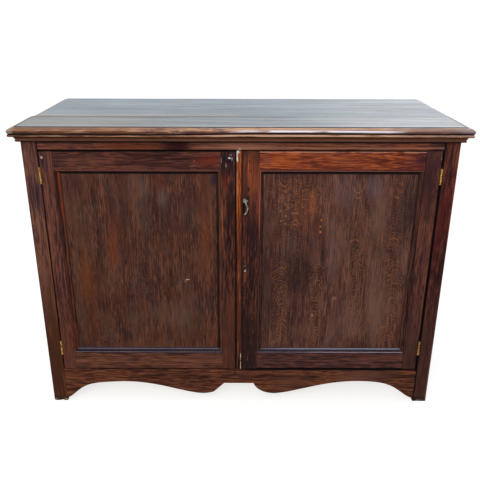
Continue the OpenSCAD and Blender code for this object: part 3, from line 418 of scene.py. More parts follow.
def finish_posts():
    oak = Wood("left_post_oak", "front_post_left", "z", "x", 3,
               (60, 34, 30), (90, 55, 44), (122, 78, 62))
    oak.fade("z", 640, 240, (68, 35, 20), 0.9).patch(-624, 752, 30, 90, (46, 32, 40), 1.0)
    oak.patch(-630, 850, 40, 90, (104, 68, 58), 0.4).veins((126, 74, 48), 90, 3.5, 0.58, 0.5)
    oak.stain(oak.x.step(-612, -608) * oak.z.step(700, 560) * oak.narrow.step(0.4, 0.6) * 0.5,
              (126, 72, 40))
    oak.gap("x", -605.2, -600, 0.7).shade(oak.x.step(-646, -650), 0.4)
    finish_post_ends(oak)
    oak.finish().dress("front_post_left")

    oak = Wood("right_post_oak", "front_post_right", "z", "x", 4,
               (40, 18, 18), (70, 34, 30), (106, 52, 38), contrast=1.3)
    oak.patch(622, 700, 34, 160, (86, 24, 20), 0.7).patch(612, 600, 20, 90, (90, 30, 24), 0.5)
    oak.patch(612, 760, 14, 60, (36, 16, 20), 0.8, 60, 6)
    oak.patch(630, 690, 10, 50, (40, 18, 20), 0.7, 60, 6)
    oak.patch(640, 870, 16, 50, (118, 66, 42), 0.7, 60, 9).patch(616, 850, 12, 60, (90, 40, 28), 0.6)
    # Three dark streaks near the head, leaning a little
    for x, lean in ((622, 0.06), (629, -0.05), (636, 0.08)):
        off = oak.x - x - (oak.z - 850) * lean - (oak.noise(30, 30, 34) - 0.5) * 16
        oak.stain(abs(off).step(2.4, 0.8) * oak.z.band(790, 900, 20) * 0.8, (36, 20, 20))
    oak.veins((122, 52, 36), 90, 3.5, 0.58, 0.5).fade("z", 520, 240, (66, 42, 36), 0.6)
    oak.stain(oak.x.step(644, 649) * oak.z.step(260, 100) * 0.6, (150, 112, 84))
    oak.stain(oak.x.step(646, 650) * oak.z.band(640, 860, 60) * 0.6, (140, 66, 44))
    oak.gap("x", 600, 607.6)
    finish_post_ends(oak)
    oak.finish().dress("front_post_right")


def finish_post_ends(oak):
    """A post's dark, frayed foot, with painted shade on the side it turns to the doors and painted shadow
    on its head, under the bed moulding.
    """
    ragged = oak.z + (oak.noise(8, 8, 12, 3) - 0.5) * 26
    oak.stain(ragged.step(26, 6) * 0.8, (40, 28, 25))
    oak.stain(ragged.step(12, 3) * oak.noise(9, 9, 7).step(0.47, 0.58), (132, 112, 96))
    # Painted shade on the side facing the doors, and painted shadow on the head
    inner = abs(oak.x).step(616, 606)
    oak.shade(oak.y.band(FRONT + 4, FRONT + 22, 3) * inner, 0.9)
    oak.shade(oak.z.step(914, 919), 0.6)


def finish_ends():
    oak = Wood("rear_post_oak", "rear_post_left", "z", "y", 5,
               (58, 34, 28), (88, 52, 40), (116, 70, 48))
    oak.finish().dress("rear_post_left", "rear_post_right")
    for side, seed in (("left", 6), ("right", 8)):
        oak = Wood(side + "_end_rail_oak", side + "_end_top_rail", "y", "z", seed,
                   (54, 32, 28), (86, 50, 40), (116, 70, 50))
        oak.finish().dress(side + "_end_top_rail", side + "_end_bottom_rail")
        oak = Wood(side + "_end_panel_oak", side + "_end_panel", "z", "y", seed + 1,
                   (46, 30, 26), (76, 46, 37), (106, 68, 50), contrast=1.0, coat=0.18, grain=PANEL_GRAIN)
        oak.clouds((92, 50, 34), 60, 0.4, 4).veins((108, 60, 36), 180, 6, 0.6, 0.5).grime("yz", 22, 0.6)
        oak.finish().dress(side + "_end_panel")


# Top

def finish_top():
    # The back board's grey-blue tones are the oak's dark colour with a painted reflection of the pale sky
    # mixed in
    oak = Wood("top_back_oak", "top_back_board", "x", "y", 12,
               (42, 46, 50), (60, 66, 69), (80, 85, 88), contrast=0.55, coat=0.85, grain=TOP_GRAIN)
    x, y = oak.x, oak.y
    oak.veins((46, 44, 46), 240, 12, 0.56, 0.35).veins((112, 108, 104), 260, 14, 0.58, 0.3, 9.0)
    # Browner at the right end; the paler, bluish left end is a painted reflection of the sky
    oak.stain(x.step(200, 480) * 0.5, (104, 84, 74)).stain(x.step(260, 40) * 0.4, (90, 97, 100))
    smear = x.band(-235, -205, 30) * y.band(-60, 200, 60)
    oak.shade(smear * oak.noise(40, 90, 40, 3).step(0.36, 0.56), 0.3)
    oak.shade(abs(x - 30 + (oak.noise(9, 60, 9) - 0.5) * 12).step(3.5, 1) * y.step(-60, 40), 0.25)
    for smudge_x, smudge_y in ((190, 20), (470, 30), (640, -60)):
        smudge = distance((x - smudge_x) / 24, (y - smudge_y) / 30).step(1, 0.2)
        oak.shade(smudge * oak.noise(8, 8, 8).step(0.4, 0.6), 0.3)
    # Worn pale along the seam towards the left, with a dark line in the seam
    worn = y.step(-60, -70) * x.step(100, -80)
    oak.stain(worn * 0.85, (170, 128, 90)).matt(worn * 0.4)
    oak.shade(y.step(-81, -84) * x.step(420, -100), 0.6)
    finish_nose(oak, oak.from_edges("x"))
    oak.finish(roughness=0.3, relief=0.25, uneven=0.35).dress("top_back_board")

    # The front board's greyish tones mix a painted reflection of the sky into the oak's colour
    oak = Wood("top_front_oak", "top_front_board", "x", "y", 11,
               (45, 40, 36), (65, 59, 53), (88, 80, 71), contrast=0.65, coat=0.85, grain=TOP_GRAIN)
    x, y = oak.x, oak.y
    oak.veins((54, 46, 42), 240, 12, 0.56, 0.35).veins((136, 124, 114), 240, 14, 0.58, 0.3, 9.0)
    yellowed = distance((x + 480) / 150, (y + 215) / 50).step(1, 0.1)
    oak.stain(yellowed * oak.narrow.step(0.35, 0.6) * 0.5, (112, 88, 56))
    # Paler towards the right end, a painted reflection of the sky; warmer and browner towards the left
    oak.stain(x.step(100, 460) * 0.6, (150, 132, 120)).stain(x.step(-140, -420) * 0.5, (122, 94, 62))
    # Dark along the seam, most towards the left
    seam = y.step(-130, -100) * (x.step(300, -60) * 0.7 + 0.25)
    oak.shade(seam, 0.7).matt(seam * 0.5).matt(x.step(-100, -420) * 0.1)
    oak.stain(y.step(-226, -254) * 0.4, (150, 150, 150))
    rim = oak.from_edges("x").least(y - oak.box[0][1])
    finish_nose(oak, rim)
    # Painted shade in the groove behind the nose, where the polish is taken off too
    quirk = rim.band(17.8, 22, 1.0)
    oak.shade(quirk, 0.8).matt(quirk).finish(roughness=0.3, relief=0.25, uneven=0.35)
    oak.dress("top_front_board")


def edge_lift(x):
    """How far the lines along the front edge lie above level: least at the left, most in the middle."""
    return x.step(-300, 100) * 4.5 - 1.5 - x.step(150, 560) * 1.5


def finish_nose(oak, rim):
    """The rounded nose of the top, rubbed bare in places, with a painted highlight across its front and
    painted shadow under it; rim is the distance from its tip.
    """
    x = oak.x
    nose = rim.step(18.6, 17.6)
    level = oak.z - edge_lift(x)
    oak.stain(nose * 0.96, (120, 74, 52))
    oak.stain(nose * x.step(-120, -420) * 0.8, (90, 54, 32)).matt(nose * x.step(0, -300) * 0.6)
    oak.stain(nose * level.step(951, 957) * (x.step(-500, -100) * 0.6 + 0.3), (172, 116, 68))
    pale = x.step(-400, -120) * oak.streaks(160, 30, 2, 9.0).step(0.42, 0.6)
    oak.stain(nose * level.step(951, 957) * pale * 0.7, (200, 148, 98))
    oak.stain(nose * oak.streaks(70, 2.6, 2, 1.5).step(0.52, 0.68) * 0.7, (190, 152, 126))
    oak.stain(nose * oak.streaks(80, 2.6, 3, 6.0).step(0.52, 0.64) * 0.7, (74, 44, 38))
    oak.stain(nose * x.band(-260, -60, 60) * oak.streaks(30, 5, 2, 4.0).step(0.46, 0.56) * 0.7,
              (72, 44, 50))
    oak.stain(nose * x.band(430, 640, 60) * oak.streaks(90, 12, 2, 4.0).step(0.4, 0.6) * 0.7,
              (98, 64, 62))
    # A painted highlight: the pale sky's reflection in a band across the nose, right of the middle
    shine = x.band(40, 420, 90) * level.band(949.5, 952.5, 2)
    oak.stain(nose * shine * oak.streaks(120, 20, 2, 2.0).step(0.26, 0.42) * 0.9, (228, 222, 232))
    oak.stain(nose * x.step(-655, -668) * 0.7, (150, 136, 120))
    oak.stain(nose * x.step(610, 664) * oak.streaks(40, 9, 2, 8.0).step(0.34, 0.54) * 0.8,
              (128, 108, 112))
    # Painted shadow under the nose, where it overhangs the bed moulding
    oak.stain(nose * level.step(948.5, 946.0) * 0.95, (26, 16, 14))


def finish_bed_moulding():
    for side in ("front", "left", "right"):
        along, across = ("x", "z") if side == "front" else ("y", "z")
        oak = Wood("bed_moulding_" + side + "_oak", "bed_moulding_" + side, along, across, 13,
                   (80, 48, 34), (134, 87, 62), (190, 138, 100), contrast=1.2, coat=0.35)
        oak.veins((190, 146, 112), 70, 3.5, 0.54, 0.7).veins((66, 34, 27), 70, 3.5, 0.54, 0.7, 9.0)
        x = oak.x
        low = oak.z + (oak.noise(16, 16, 16) - 0.5) * 1.6
        wavy = low - edge_lift(x)
        roll = wavy.band(936.5, 941, 0.8) * oak.streaks(60, 9, 2, 8.0).step(0.3, 0.56)
        oak.stain(x.step(-220, -60) * roll, (180, 138, 108))
        oak.stain(x.step(-60, -200) * wavy.step(941, 938) * 0.5, (104, 52, 34))
        oak.stain(low.band(924, 930, 1.5) * (x.step(-160, 40) * 0.4 + 0.45), (136, 78, 44))
        oak.stain(x.band(480, 640, 50) * wavy.step(934, 938) * 0.35, (84, 56, 54))
        oak.stain(wavy.step(934.5, 932.5) * 0.6, (92, 54, 36))
        # Painted shade: a dark line in the crease below the roll, and black shadow at the top, under the
        # nose
        oak.stain(wavy.band(932, 934.6, 1.0) * 0.85, (44, 24, 18))
        oak.stain(wavy.step(941.2, 942.4) * 0.95, (16, 9, 8))
        # Painted shadow along the foot, above the frieze, with no polish there or under the nose
        oak.stain(low.step(924.5, 922.5) * 0.8, (48, 30, 26))
        oak.stain(low.step(921.4, 920) * 0.9, (16, 10, 10))
        oak.matt(low.step(924, 922) * 0.8).matt(wavy.step(940.8, 942.2))
        oak.finish(roughness=0.34).dress("bed_moulding_" + side)


# Doors

def finish_left_door_rails():
    oak = Wood("left_top_rail_oak", "left_door_top_rail", "x", "z", 21,
               (46, 23, 21), (77, 42, 35), (110, 62, 46), contrast=1.5)
    oak.patch(-545, 862, 50, 40, (58, 36, 36), 0.8).patch(-470, 858, 90, 24, (92, 54, 40), 0.5)
    oak.patch(-265, 864, 160, 50, (38, 15, 16), 1.0).patch(-96, 860, 56, 30, (104, 34, 14), 1.0, 26, 9)
    oak.veins((124, 60, 44), 60, 3, 0.6, 0.6).stain(oak.spot(-139, 860, 4, 3, 0.6, 0.6), (150, 62, 26))
    oak.stain(oak.z.step(836, 832) * 0.5, (96, 52, 38))
    oak.gap("z", 887.2, FRIEZE_FOOT).dark_sides(0.95).finish().dress("left_door_top_rail")

    oak = Wood("left_bottom_rail_oak", "left_door_bottom_rail", "x", "z", 22,
               (56, 33, 27), (85, 49, 38), (116, 70, 50), contrast=1.3)
    oak.patch(-110, 175, 90, 30, (92, 55, 46), 0.6).veins((120, 66, 42), 120, 3.5, 0.58, 0.5)
    oak.gap("z", 130, 134.2, 0.6).grime("z", 3.5, 0.4).dark_sides().finish()
    oak.dress("left_door_bottom_rail")


def finish_left_door_stiles():
    oak = Wood("left_hinge_stile_oak", "left_door_hinge_stile", "z", "x", 25,
               (50, 29, 29), (81, 47, 40), (112, 66, 50), contrast=1.3)
    oak.patch(-592, 858, 26, 44, (50, 36, 40), 0.9, 40, 9).fade("z", 520, 180, (80, 42, 29), 0.5)
    oak.patch(-572, 800, 12, 60, (104, 52, 38), 0.5).veins((122, 60, 42), 80, 3, 0.6, 0.6)
    # A pale chip near the head
    oak.stain(oak.spot(-593.5, 869, 4.4, 5.4, 0.6, 0.8) * 0.95, (184, 154, 130))
    oak.gap("x", -604, -601.2).gap("z", 887.2, FRIEZE_FOOT).shade(oak.x.step(-562.5, -560.6), 0.3)
    oak.dark_sides(0.95).finish().dress("left_door_hinge_stile")

    oak = Wood("left_meeting_stile_oak", "left_door_meeting_stile", "z", "x", 26,
               (34, 18, 18), (64, 34, 28), (104, 55, 38), contrast=1.25)
    oak.patch(-36, 850, 60, 80, (26, 15, 23), 1.0, 40, 9)
    oak.patch(-46, 796, 12, 44, (100, 28, 12), 0.75, 60, 5)
    oak.patch(-30, 700, 16, 120, (50, 24, 18), 0.6, 60, 5).veins((128, 68, 38), 60, 2.6, 0.6, 0.7)
    oak.stain(oak.x.band(-59, -55.5, 1.2) * oak.z.band(640, 800, 40) * oak.narrow.step(0.36, 0.5) * 0.8,
              (150, 86, 50))
    oak.fade("z", 480, 300, (84, 47, 35), 0.6)
    # Pale chips and scratches near the head
    oak.stain(oak.spot(-33.8, 868.5, 5, 4, 0.5, 0.8), (206, 190, 180))
    oak.stain(oak.spot(-26, 866, 2, 7, 0.5, 0.8), (140, 132, 144))
    oak.stain(oak.spot(-30, 878, 7, 2, 0.5, 0.8), (120, 112, 124))
    oak.stain(oak.spot(-44, 846, 1.8, 10, 0.5, 0.6), (150, 122, 104))
    oak.stain(oak.spot(-58, 862, 1.4, 12, 0.5, 0.6), (130, 112, 110))
    oak.stain(oak.spot(-36, 802, 2.4, 18, 0.7, 0.5) * 0.8, (124, 80, 62))
    oak.gap("x", -16.8, -12).gap("z", 887.2, FRIEZE_FOOT)
    oak.gap("x", -21.5, -19, oak.z.step(700, 560) * 0.35)
    oak.dark_sides(0.95).finish().dress("left_door_meeting_stile")


def finish_left_panel():
    oak = Wood("left_panel_oak", "left_door_panel", "z", "x", 31,
               (42, 24, 20), (74, 42, 32), (110, 68, 50),
               contrast=1.05, coat=0.12, grain=PANEL_GRAIN, sway=4)
    oak.clouds((88, 42, 26), 44, 0.55, 2).clouds((80, 62, 52), 46, 0.45, 6, 0.52)
    oak.clouds((48, 31, 31), 36, 0.5, 9, 0.52)
    oak.patch(-150, 735, 80, 70, (50, 29, 28), 0.5).patch(-520, 780, 90, 70, (50, 31, 30), 0.5)
    oak.patch(-480, 420, 70, 230, (84, 42, 22), 0.45, 40, 5)
    oak.patch(-400, 640, 24, 120, (92, 36, 20), 0.6, 40, 5)
    oak.patch(-200, 640, 34, 110, (84, 38, 24), 0.4, 40, 5)
    oak.veins((126, 68, 36), 24, 3.0, 0.6, 0.5, 11.0).veins((40, 26, 24), 24, 3.0, 0.6, 0.45, 13.0)
    oak.flecks(-310, 500, 320, 420, (106, 70, 54), 0.25)
    oak.patch(-500, 660, 30, 110, (88, 66, 50), 0.5).patch(-530, 690, 26, 120, (84, 58, 45), 0.4)
    oak.patch(-408, 560, 16, 90, (118, 58, 28), 0.45, 20, 4)
    oak.patch(-500, 470, 36, 140, (106, 56, 28), 0.6, 20, 5)
    oak.patch(-400, 720, 26, 90, (46, 29, 29), 0.6).patch(-225, 690, 46, 80, (46, 32, 37), 0.5)
    oak.patch(-330, 760, 60, 70, (96, 74, 66), 0.4).patch(-240, 740, 26, 50, (104, 86, 78), 0.5)
    oak.patch(-110, 600, 34, 250, (110, 57, 32), 0.6, 20, 5).patch(-160, 690, 26, 60, (44, 30, 31), 0.5)
    oak.patch(-180, 330, 70, 160, (96, 68, 54), 0.4).patch(-330, 330, 90, 70, (90, 64, 50), 0.3)
    oak.patch(-362, 660, 36, 190, (42, 20, 18), 0.6).patch(-305, 585, 30, 70, (50, 32, 32), 0.4)
    oak.patch(-297, 775, 30, 50, (108, 76, 66), 0.4).patch(-115, 700, 28, 50, (50, 28, 30), 0.5)
    oak.patch(-452, 365, 40, 56, (42, 23, 21), 0.65).patch(-225, 330, 60, 80, (108, 76, 62), 0.5)
    oak.patch(-300, 220, 260, 26, (98, 58, 40), 0.5, 20, 5)
    oak.patch(-79, 800, 20, 34, (30, 28, 36), 0.9, 60, 20)
    oak.whorl(-448, 262, 1.4, 60, 10, (46, 27, 23), 0.5)
    oak.whorl(-353, 300, 0.7, 22, 8, (34, 22, 20), 0.5, True)
    oak.whorl(-247, 282, 0.8, 28, 8, (40, 26, 24), 0.5, True)
    oak.whorl(-289, 240, 1.3, 34, 9, (46, 30, 25), 0.4, True)
    oak.stain(oak.spot(-171, 463, 9, 2.2, 0.5, 0.8), (190, 164, 144))
    oak.stain(oak.spot(-178, 457, 4, 3, 0.6, 0.8), (140, 112, 94))
    # Darker along the edges, partly painted shade, with painted shadow at the head, under the moulding, and
    # darker towards the meeting side
    oak.grime("xz", 24, 0.5).shade(oak.x.step(-82, -70), 0.5).shade(oak.z.step(816, 830), 0.5)
    oak.finish(roughness=0.46, relief=0.3).dress("left_door_panel")


def finish_right_door_rails():
    oak = Wood("right_top_rail_oak", "right_door_top_rail", "x", "z", 23,
               (82, 29, 19), (124, 53, 29), (174, 88, 42), contrast=1.5)
    oak.patch(130, 864, 80, 40, (164, 76, 28), 0.7, 60, 4)
    oak.patch(310, 864, 120, 30, (152, 76, 42), 0.5, 60, 4)
    oak.veins((80, 28, 24), 150, 4, 0.54, 0.6).veins((184, 104, 60), 70, 3, 0.6, 0.6, 9.0)
    oak.patch(560, 862, 90, 60, (60, 28, 34), 1.0, 90, 20).patch(510, 850, 60, 20, (92, 40, 33), 0.7)
    oak.stain(oak.spot(80, 862, 20, 34, 0.8, 0.4) * 0.5, (112, 58, 46))
    # A painted highlight along the upper edge
    oak.stain(oak.z.band(885.5, 888.5, 0.8) * oak.streaks(50, 10, 2, 4.0).step(0.34, 0.5) * 0.6,
              (196, 140, 118))
    oak.gap("z", 889, FRIEZE_FOOT, 0.8).stain(oak.z.step(838, 834) * 0.7, (72, 34, 32))
    oak.dark_sides(0.95).finish().dress("right_door_top_rail")

    oak = Wood("right_bottom_rail_oak", "right_door_bottom_rail", "x", "z", 24,
               (44, 27, 26), (72, 43, 40), (104, 62, 52), contrast=1.2)
    oak.veins((122, 54, 34), 60, 3.5, 0.6, 0.7).patch(430, 180, 60, 20, (104, 58, 42), 0.5)
    oak.patch(110, 165, 50, 30, (48, 32, 33), 0.6).grime("z", 3.5, 0.3).gap("z", 130, 136)
    oak.dark_sides(0.95).finish().dress("right_door_bottom_rail")


def finish_right_hinge_stile():
    oak = Wood("right_hinge_stile_oak", "right_door_hinge_stile", "z", "x", 28,
               (42, 24, 25), (75, 43, 38), (112, 65, 50), contrast=1.3)
    oak.veins((128, 64, 38), 80, 3, 0.6, 0.7).patch(576, 800, 60, 150, (52, 23, 28), 1.0, 40, 9)
    oak.patch(590, 620, 8, 160, (122, 66, 40), 0.5, 60, 4).patch(566, 740, 14, 60, (86, 40, 32), 0.5)
    oak.fade("x", 596, 588, (74, 42, 37), 0.2).fade("z", 460, 260, (58, 34, 29), 0.5)
    oak.stain(oak.spot(598.5, 868, 2, 9, 0.6, 0.5) * 0.8, (140, 128, 110))
    oak.gap("x", 599.2, 604).shade(oak.x.step(556, 553), 0.5)
    oak.dark_sides(0.95).finish().dress("right_door_hinge_stile")


def finish_right_meeting_stile():
    oak = Wood("right_meeting_stile_oak", "right_door_meeting_stile", "z", "x", 27,
               (32, 17, 18), (58, 32, 29), (104, 55, 36), contrast=1.5)
    oak.patch(34, 810, 34, 110, (140, 68, 36), 0.85, 90, 3.4)
    oak.patch(34, 700, 20, 90, (92, 44, 31), 0.7, 60, 3)
    oak.patch(15, 800, 12, 110, (58, 27, 27), 0.7, 90, 3).patch(46, 830, 8, 60, (88, 42, 32), 0.6, 90, 3)
    oak.patch(12, 700, 9, 190, (66, 28, 22), 0.6).patch(38, 610, 34, 130, (44, 22, 23), 0.9)
    oak.patch(34, 165, 34, 60, (32, 25, 26), 0.9, 60, 20).fade("z", 420, 300, (38, 24, 24), 0.8)
    oak.veins((146, 72, 38), 36, 3.2, 0.61, 0.6)
    oak.stain(oak.spot(23, 840, 3, 40, 0.8, 0.6) * 0.8, (166, 80, 32))
    oak.stain(oak.x.step(50, 53) * oak.z.band(700, 830, 30) * 0.5, (120, 60, 42))
    # Small knots, one above the other
    for x, z, half in ((25.6, 884, 2.4), (26.5, 858, 3.0), (28.5, 829, 2.4), (24, 772, 4.0),
                       (22, 744, 4.5), (24, 700, 3.4)):
        oak.whorl(x, z, 2.0, half * 4, 5, (44, 24, 23), 0.6)
        oak.stain(oak.spot(x, z, half, half * 2.4, 0.7, 0.7), (20, 13, 17))
    # A curl of grain under the keyhole, with dark lines below it
    oak.patch(15, 478, 7, 34, (128, 66, 40), 0.8, 60, 12)
    oak.whorl(15, 455, 1.5, 24, 7, (30, 19, 19), 0.8).stain(oak.spot(15, 455, 3, 5, 0.6), (20, 13, 18))
    for z in (437, 424, 410, 393, 376):
        oak.bow(14, z, 11, -8, 3.0, (26, 16, 16), 0.7)
    # Dark wear round the keyhole and a pale rub under it
    oak.stain(oak.spot(14.5, 512, 7, 12, 0.4, 0.5) * 0.5, (36, 22, 20))
    oak.stain(oak.spot(14.5, 499, 4.5, 2.4, 0.5), (176, 180, 172))
    # The drop pull's shadow, on its left
    shadow = oak.spot(9.5, 714, 5, 30, 0.3, 0.4)
    oak.stain(shadow * 0.95, (6, 4, 5)).matt(shadow)
    oak.stain(oak.x.step(9.5, 5.5) * 0.7, (24, 14, 13)).gap("z", 889.5, FRIEZE_FOOT, 0.8)
    oak.dark_sides(0.95).finish().dress("right_door_meeting_stile")


def finish_right_panel():
    oak = Wood("right_panel_oak", "right_door_panel", "z", "x", 32,
               (47, 28, 25), (80, 48, 40), (118, 78, 64),
               contrast=1.0, coat=0.12, grain=PANEL_GRAIN, sway=4)
    oak.clouds((94, 50, 36), 44, 0.4, 2).clouds((100, 75, 66), 46, 0.35, 6, 0.52)
    oak.clouds((56, 36, 33), 36, 0.4, 9, 0.52)
    oak.patch(430, 640, 50, 240, (112, 82, 70), 0.6, 60, 4)
    oak.patch(300, 560, 40, 150, (102, 76, 66), 0.6, 60, 4)
    oak.patch(450, 330, 50, 170, (112, 80, 66), 0.6, 60, 4).patch(330, 300, 60, 120, (98, 68, 57), 0.5)
    oak.patch(190, 500, 76, 150, (42, 26, 24), 0.95).patch(365, 560, 16, 60, (52, 35, 35), 0.6)
    oak.patch(512, 690, 66, 180, (46, 29, 31), 0.9).patch(96, 480, 70, 360, (50, 30, 27), 0.85)
    oak.patch(320, 755, 60, 80, (100, 76, 76), 0.5, 60, 4).patch(440, 590, 60, 80, (58, 34, 29), 0.6)
    oak.patch(180, 300, 60, 90, (56, 34, 30), 0.5)
    oak.patch(370, 330, 44, 110, (112, 82, 72), 0.5, 60, 4)
    oak.patch(108, 700, 28, 64, (44, 22, 22), 0.6).patch(112, 340, 30, 150, (42, 25, 26), 0.65)
    oak.patch(170, 620, 34, 44, (44, 22, 23), 0.5).patch(176, 450, 34, 64, (38, 24, 25), 0.5)
    oak.patch(236, 545, 30, 44, (104, 60, 48), 0.5).patch(243, 365, 28, 40, (46, 28, 27), 0.6)
    oak.patch(360, 590, 36, 90, (46, 30, 33), 0.7).patch(406, 775, 36, 56, (116, 94, 98), 0.6)
    oak.patch(440, 370, 44, 160, (120, 86, 72), 0.45).patch(215, 275, 80, 44, (108, 72, 56), 0.5)
    oak.patch(385, 275, 44, 48, (112, 80, 68), 0.5)
    line, bright = (118, 73, 47), (168, 94, 46)
    oak.veins((116, 70, 50), 24, 3.0, 0.6, 0.4, 11.0).veins((42, 27, 25), 24, 3.0, 0.6, 0.45, 13.0)
    oak.flecks(420, 620, 160, 240, line, 0.5, 0.5).flecks(420, 330, 160, 160, line, 0.4)
    oak.flecks(160, 620, 110, 200, line, 0.45)
    oak.flecks(180, 740, 140, 110, bright, 0.45, 0.53)
    oak.arcs(135, 28, 740, 812, 12, -0.03, line, 0.6, 0.3, 0.44)
    oak.arcs(248, 24, 740, 815, 12, -0.03, line, 0.5, 0.3, 0.48)
    oak.arcs(133, 30, 200, 540, 12, 0.03, line, 0.85, 0.34, 0.43)
    oak.arcs(248, 24, 200, 540, 12, 0.03, line, 0.85, 0.34, 0.42)
    oak.arcs(377, 22, 200, 600, 12, 0.03, line, 0.8, 0.34, 0.44)
    oak.arcs(496, 28, 220, 560, 12, 0.02, line, 0.9, 0.36, 0.4)
    oak.arcs(484, 22, 560, 640, 11, 0.03, bright, 0.45, 0.3, 0.46)
    oak.arcs(485, 16, 720, 812, 13, -0.02, bright, 0.55, 0.3, 0.45)
    oak.arcs(310, 20, 600, 700, 12, 0.03, line, 0.5, 0.3, 0.48)
    # Single curved flecks and round ones, brighter than the rest
    for x, z, half, drop, thick in (
            (172, 692, 10, 5, 2.8), (172, 668, 17, 20, 2.2), (170, 655, 12, 11, 2.2),
            (135, 760, 13, -16, 1.8), (133, 778, 20, -26, 1.6), (361, 740, 12, -16, 1.8),
            (360, 757, 22, -30, 1.8), (360, 603, 16, 8, 1.8), (484, 608, 14, 8, 1.8)):
        oak.bow(x, z, half, drop, thick, bright, 0.75)
    for x, z, half in ((141, 682, 4), (140, 656, 3.6), (125, 699, 3), (126, 666, 3),
                       (252, 669, 4.4), (250, 648, 4), (251, 629, 4.4), (219, 747, 3.4)):
        oak.stain(oak.spot(x, z, half, half * 1.2, 0.7, 0.9) * 0.8, (182, 106, 54))
    oak.patch(222, 720, 16, 70, (146, 80, 42), 0.7, 24, 4)
    oak.patch(447, 613, 3, 36, (152, 78, 40), 0.7, 90, 8)
    oak.patch(205, 670, 60, 70, (106, 56, 38), 0.4, 40, 5).patch(480, 780, 30, 40, (98, 54, 40), 0.4)
    oak.stain(oak.spot(308, 396, 12, 9, 0.8, 1.0) * 0.6, (132, 100, 88))
    oak.stain(oak.spot(239, 333, 5, 7, 0.7, 0.8) * 0.8, (150, 116, 98))
    # Darker along the edges, partly painted shade, with painted shadow at the head, under the moulding, and
    # darker towards the hinge side
    oak.grime("xz", 22, 0.55).shade(oak.x.step(545, 560), 0.5).shade(oak.z.step(818, 830), 0.6)
    oak.finish(roughness=0.46, relief=0.3).dress("right_door_panel")


def finish_mouldings():
    """Round each panel: outer bead, hollow and inner bead, told apart by how far in they lie, with painted
    shade in the hollows and painted reflections on the foot's beads.
    """
    for side, seed in (("left", 33), ("right", 34)):
        oak = Wood(side + "_moulding_oak", side + "_door_moulding", "z", "x", seed,
                   (36, 22, 20), (60, 36, 30), (94, 57, 44), contrast=1.0, coat=0.3)
        left, right, foot, head = oak.from_sides()
        rim = left.least(right).least(foot).least(head)
        upright = (foot.least(head) - left.least(right)).step(-0.2, 0.2)
        level = 1 - upright
        streaky = oak.streaks(70, 6, 2, 4.0).step(0.36, 0.54)
        lower = oak.z.step(560, 300)
        if side == "left":
            oak.stain(left.band(5.5, 11.6, 0.8) * upright * streaky * oak.z.step(640, 720) * 0.9,
                      (134, 50, 20))
            oak.stain(left.band(8.8, 11.6, 0.8) * upright * streaky * oak.z.step(720, 640) * 0.8,
                      (116, 52, 28))
            oak.stain(left.step(4, 3) * upright * oak.z.step(780, 800) * 0.8, (22, 14, 14))
            oak.stain(left.band(2, 5, 0.8) * upright * lower * 0.7, (110, 52, 28))
            oak.stain(right.band(1.5, 6.5, 0.8) * upright * streaky * 0.8, (112, 70, 50))
            oak.shade(right.band(8.5, 14, 0.8) * upright, 0.6)
        else:
            oak.stain(left.band(1.2, 4.6, 0.6) * upright * oak.z.step(560, 700) * 0.9, (168, 90, 62))
            oak.stain(left.band(1.2, 4.6, 0.6) * upright * lower * 0.5, (92, 56, 50))
            oak.stain(right.band(9, 12, 0.8) * upright * lower * streaky * 0.7, (116, 70, 46))
            oak.stain(right.step(8, 9) * right.step(14, 13) * upright * oak.z.step(500, 640) * 0.7,
                      (24, 15, 16))
            oak.stain(head.band(0.5, 4, 1) * oak.x.step(330, 120) * level * 0.6, (140, 60, 32))
        # Painted shadow in the hollow of the head, under its lip; the outer bead above it browner
        hollow = head.step(6, 7.5) * level * head.step(30, 20)
        oak.stain(hollow * 0.9, (14, 10, 11)).stain(head.step(5, 3) * level * 0.75, (112, 62, 50))
        # Painted reflections of the sky along the up-facing beads of the foot
        oak.stain(foot.band(0.8, 3.2, 0.6) * level * 0.6, (104, 100, 126))
        oak.stain(foot.band(9.8, 12.6, 0.8) * level * 0.75, (110, 108, 134))
        if side == "right":
            oak.stain(foot.band(0.6, 3.6, 0.6) * level * oak.x.step(150, 300) * 0.7,
                      (150, 132, 144))
            oak.stain(foot.band(9.4, 13, 0.8) * level * oak.x.step(60, 200) * 0.7,
                      (146, 142, 160))
        # Painted shade in the trough between the foot's beads, and no polish there or in the hollow
        trough = foot.band(4.4, 8.4, 0.6) * level
        oak.stain(trough * 0.9, (26, 16, 18)).matt((trough + hollow).least(1.0))
        # Dark along the outer edge, and painted shade along the inner edge by the panel
        oak.shade(rim.step(0.8, 0.1), 0.8).shade(rim.step(13.3, 13.9), 0.8)
        oak.finish(roughness=0.36).dress(side + "_door_moulding")


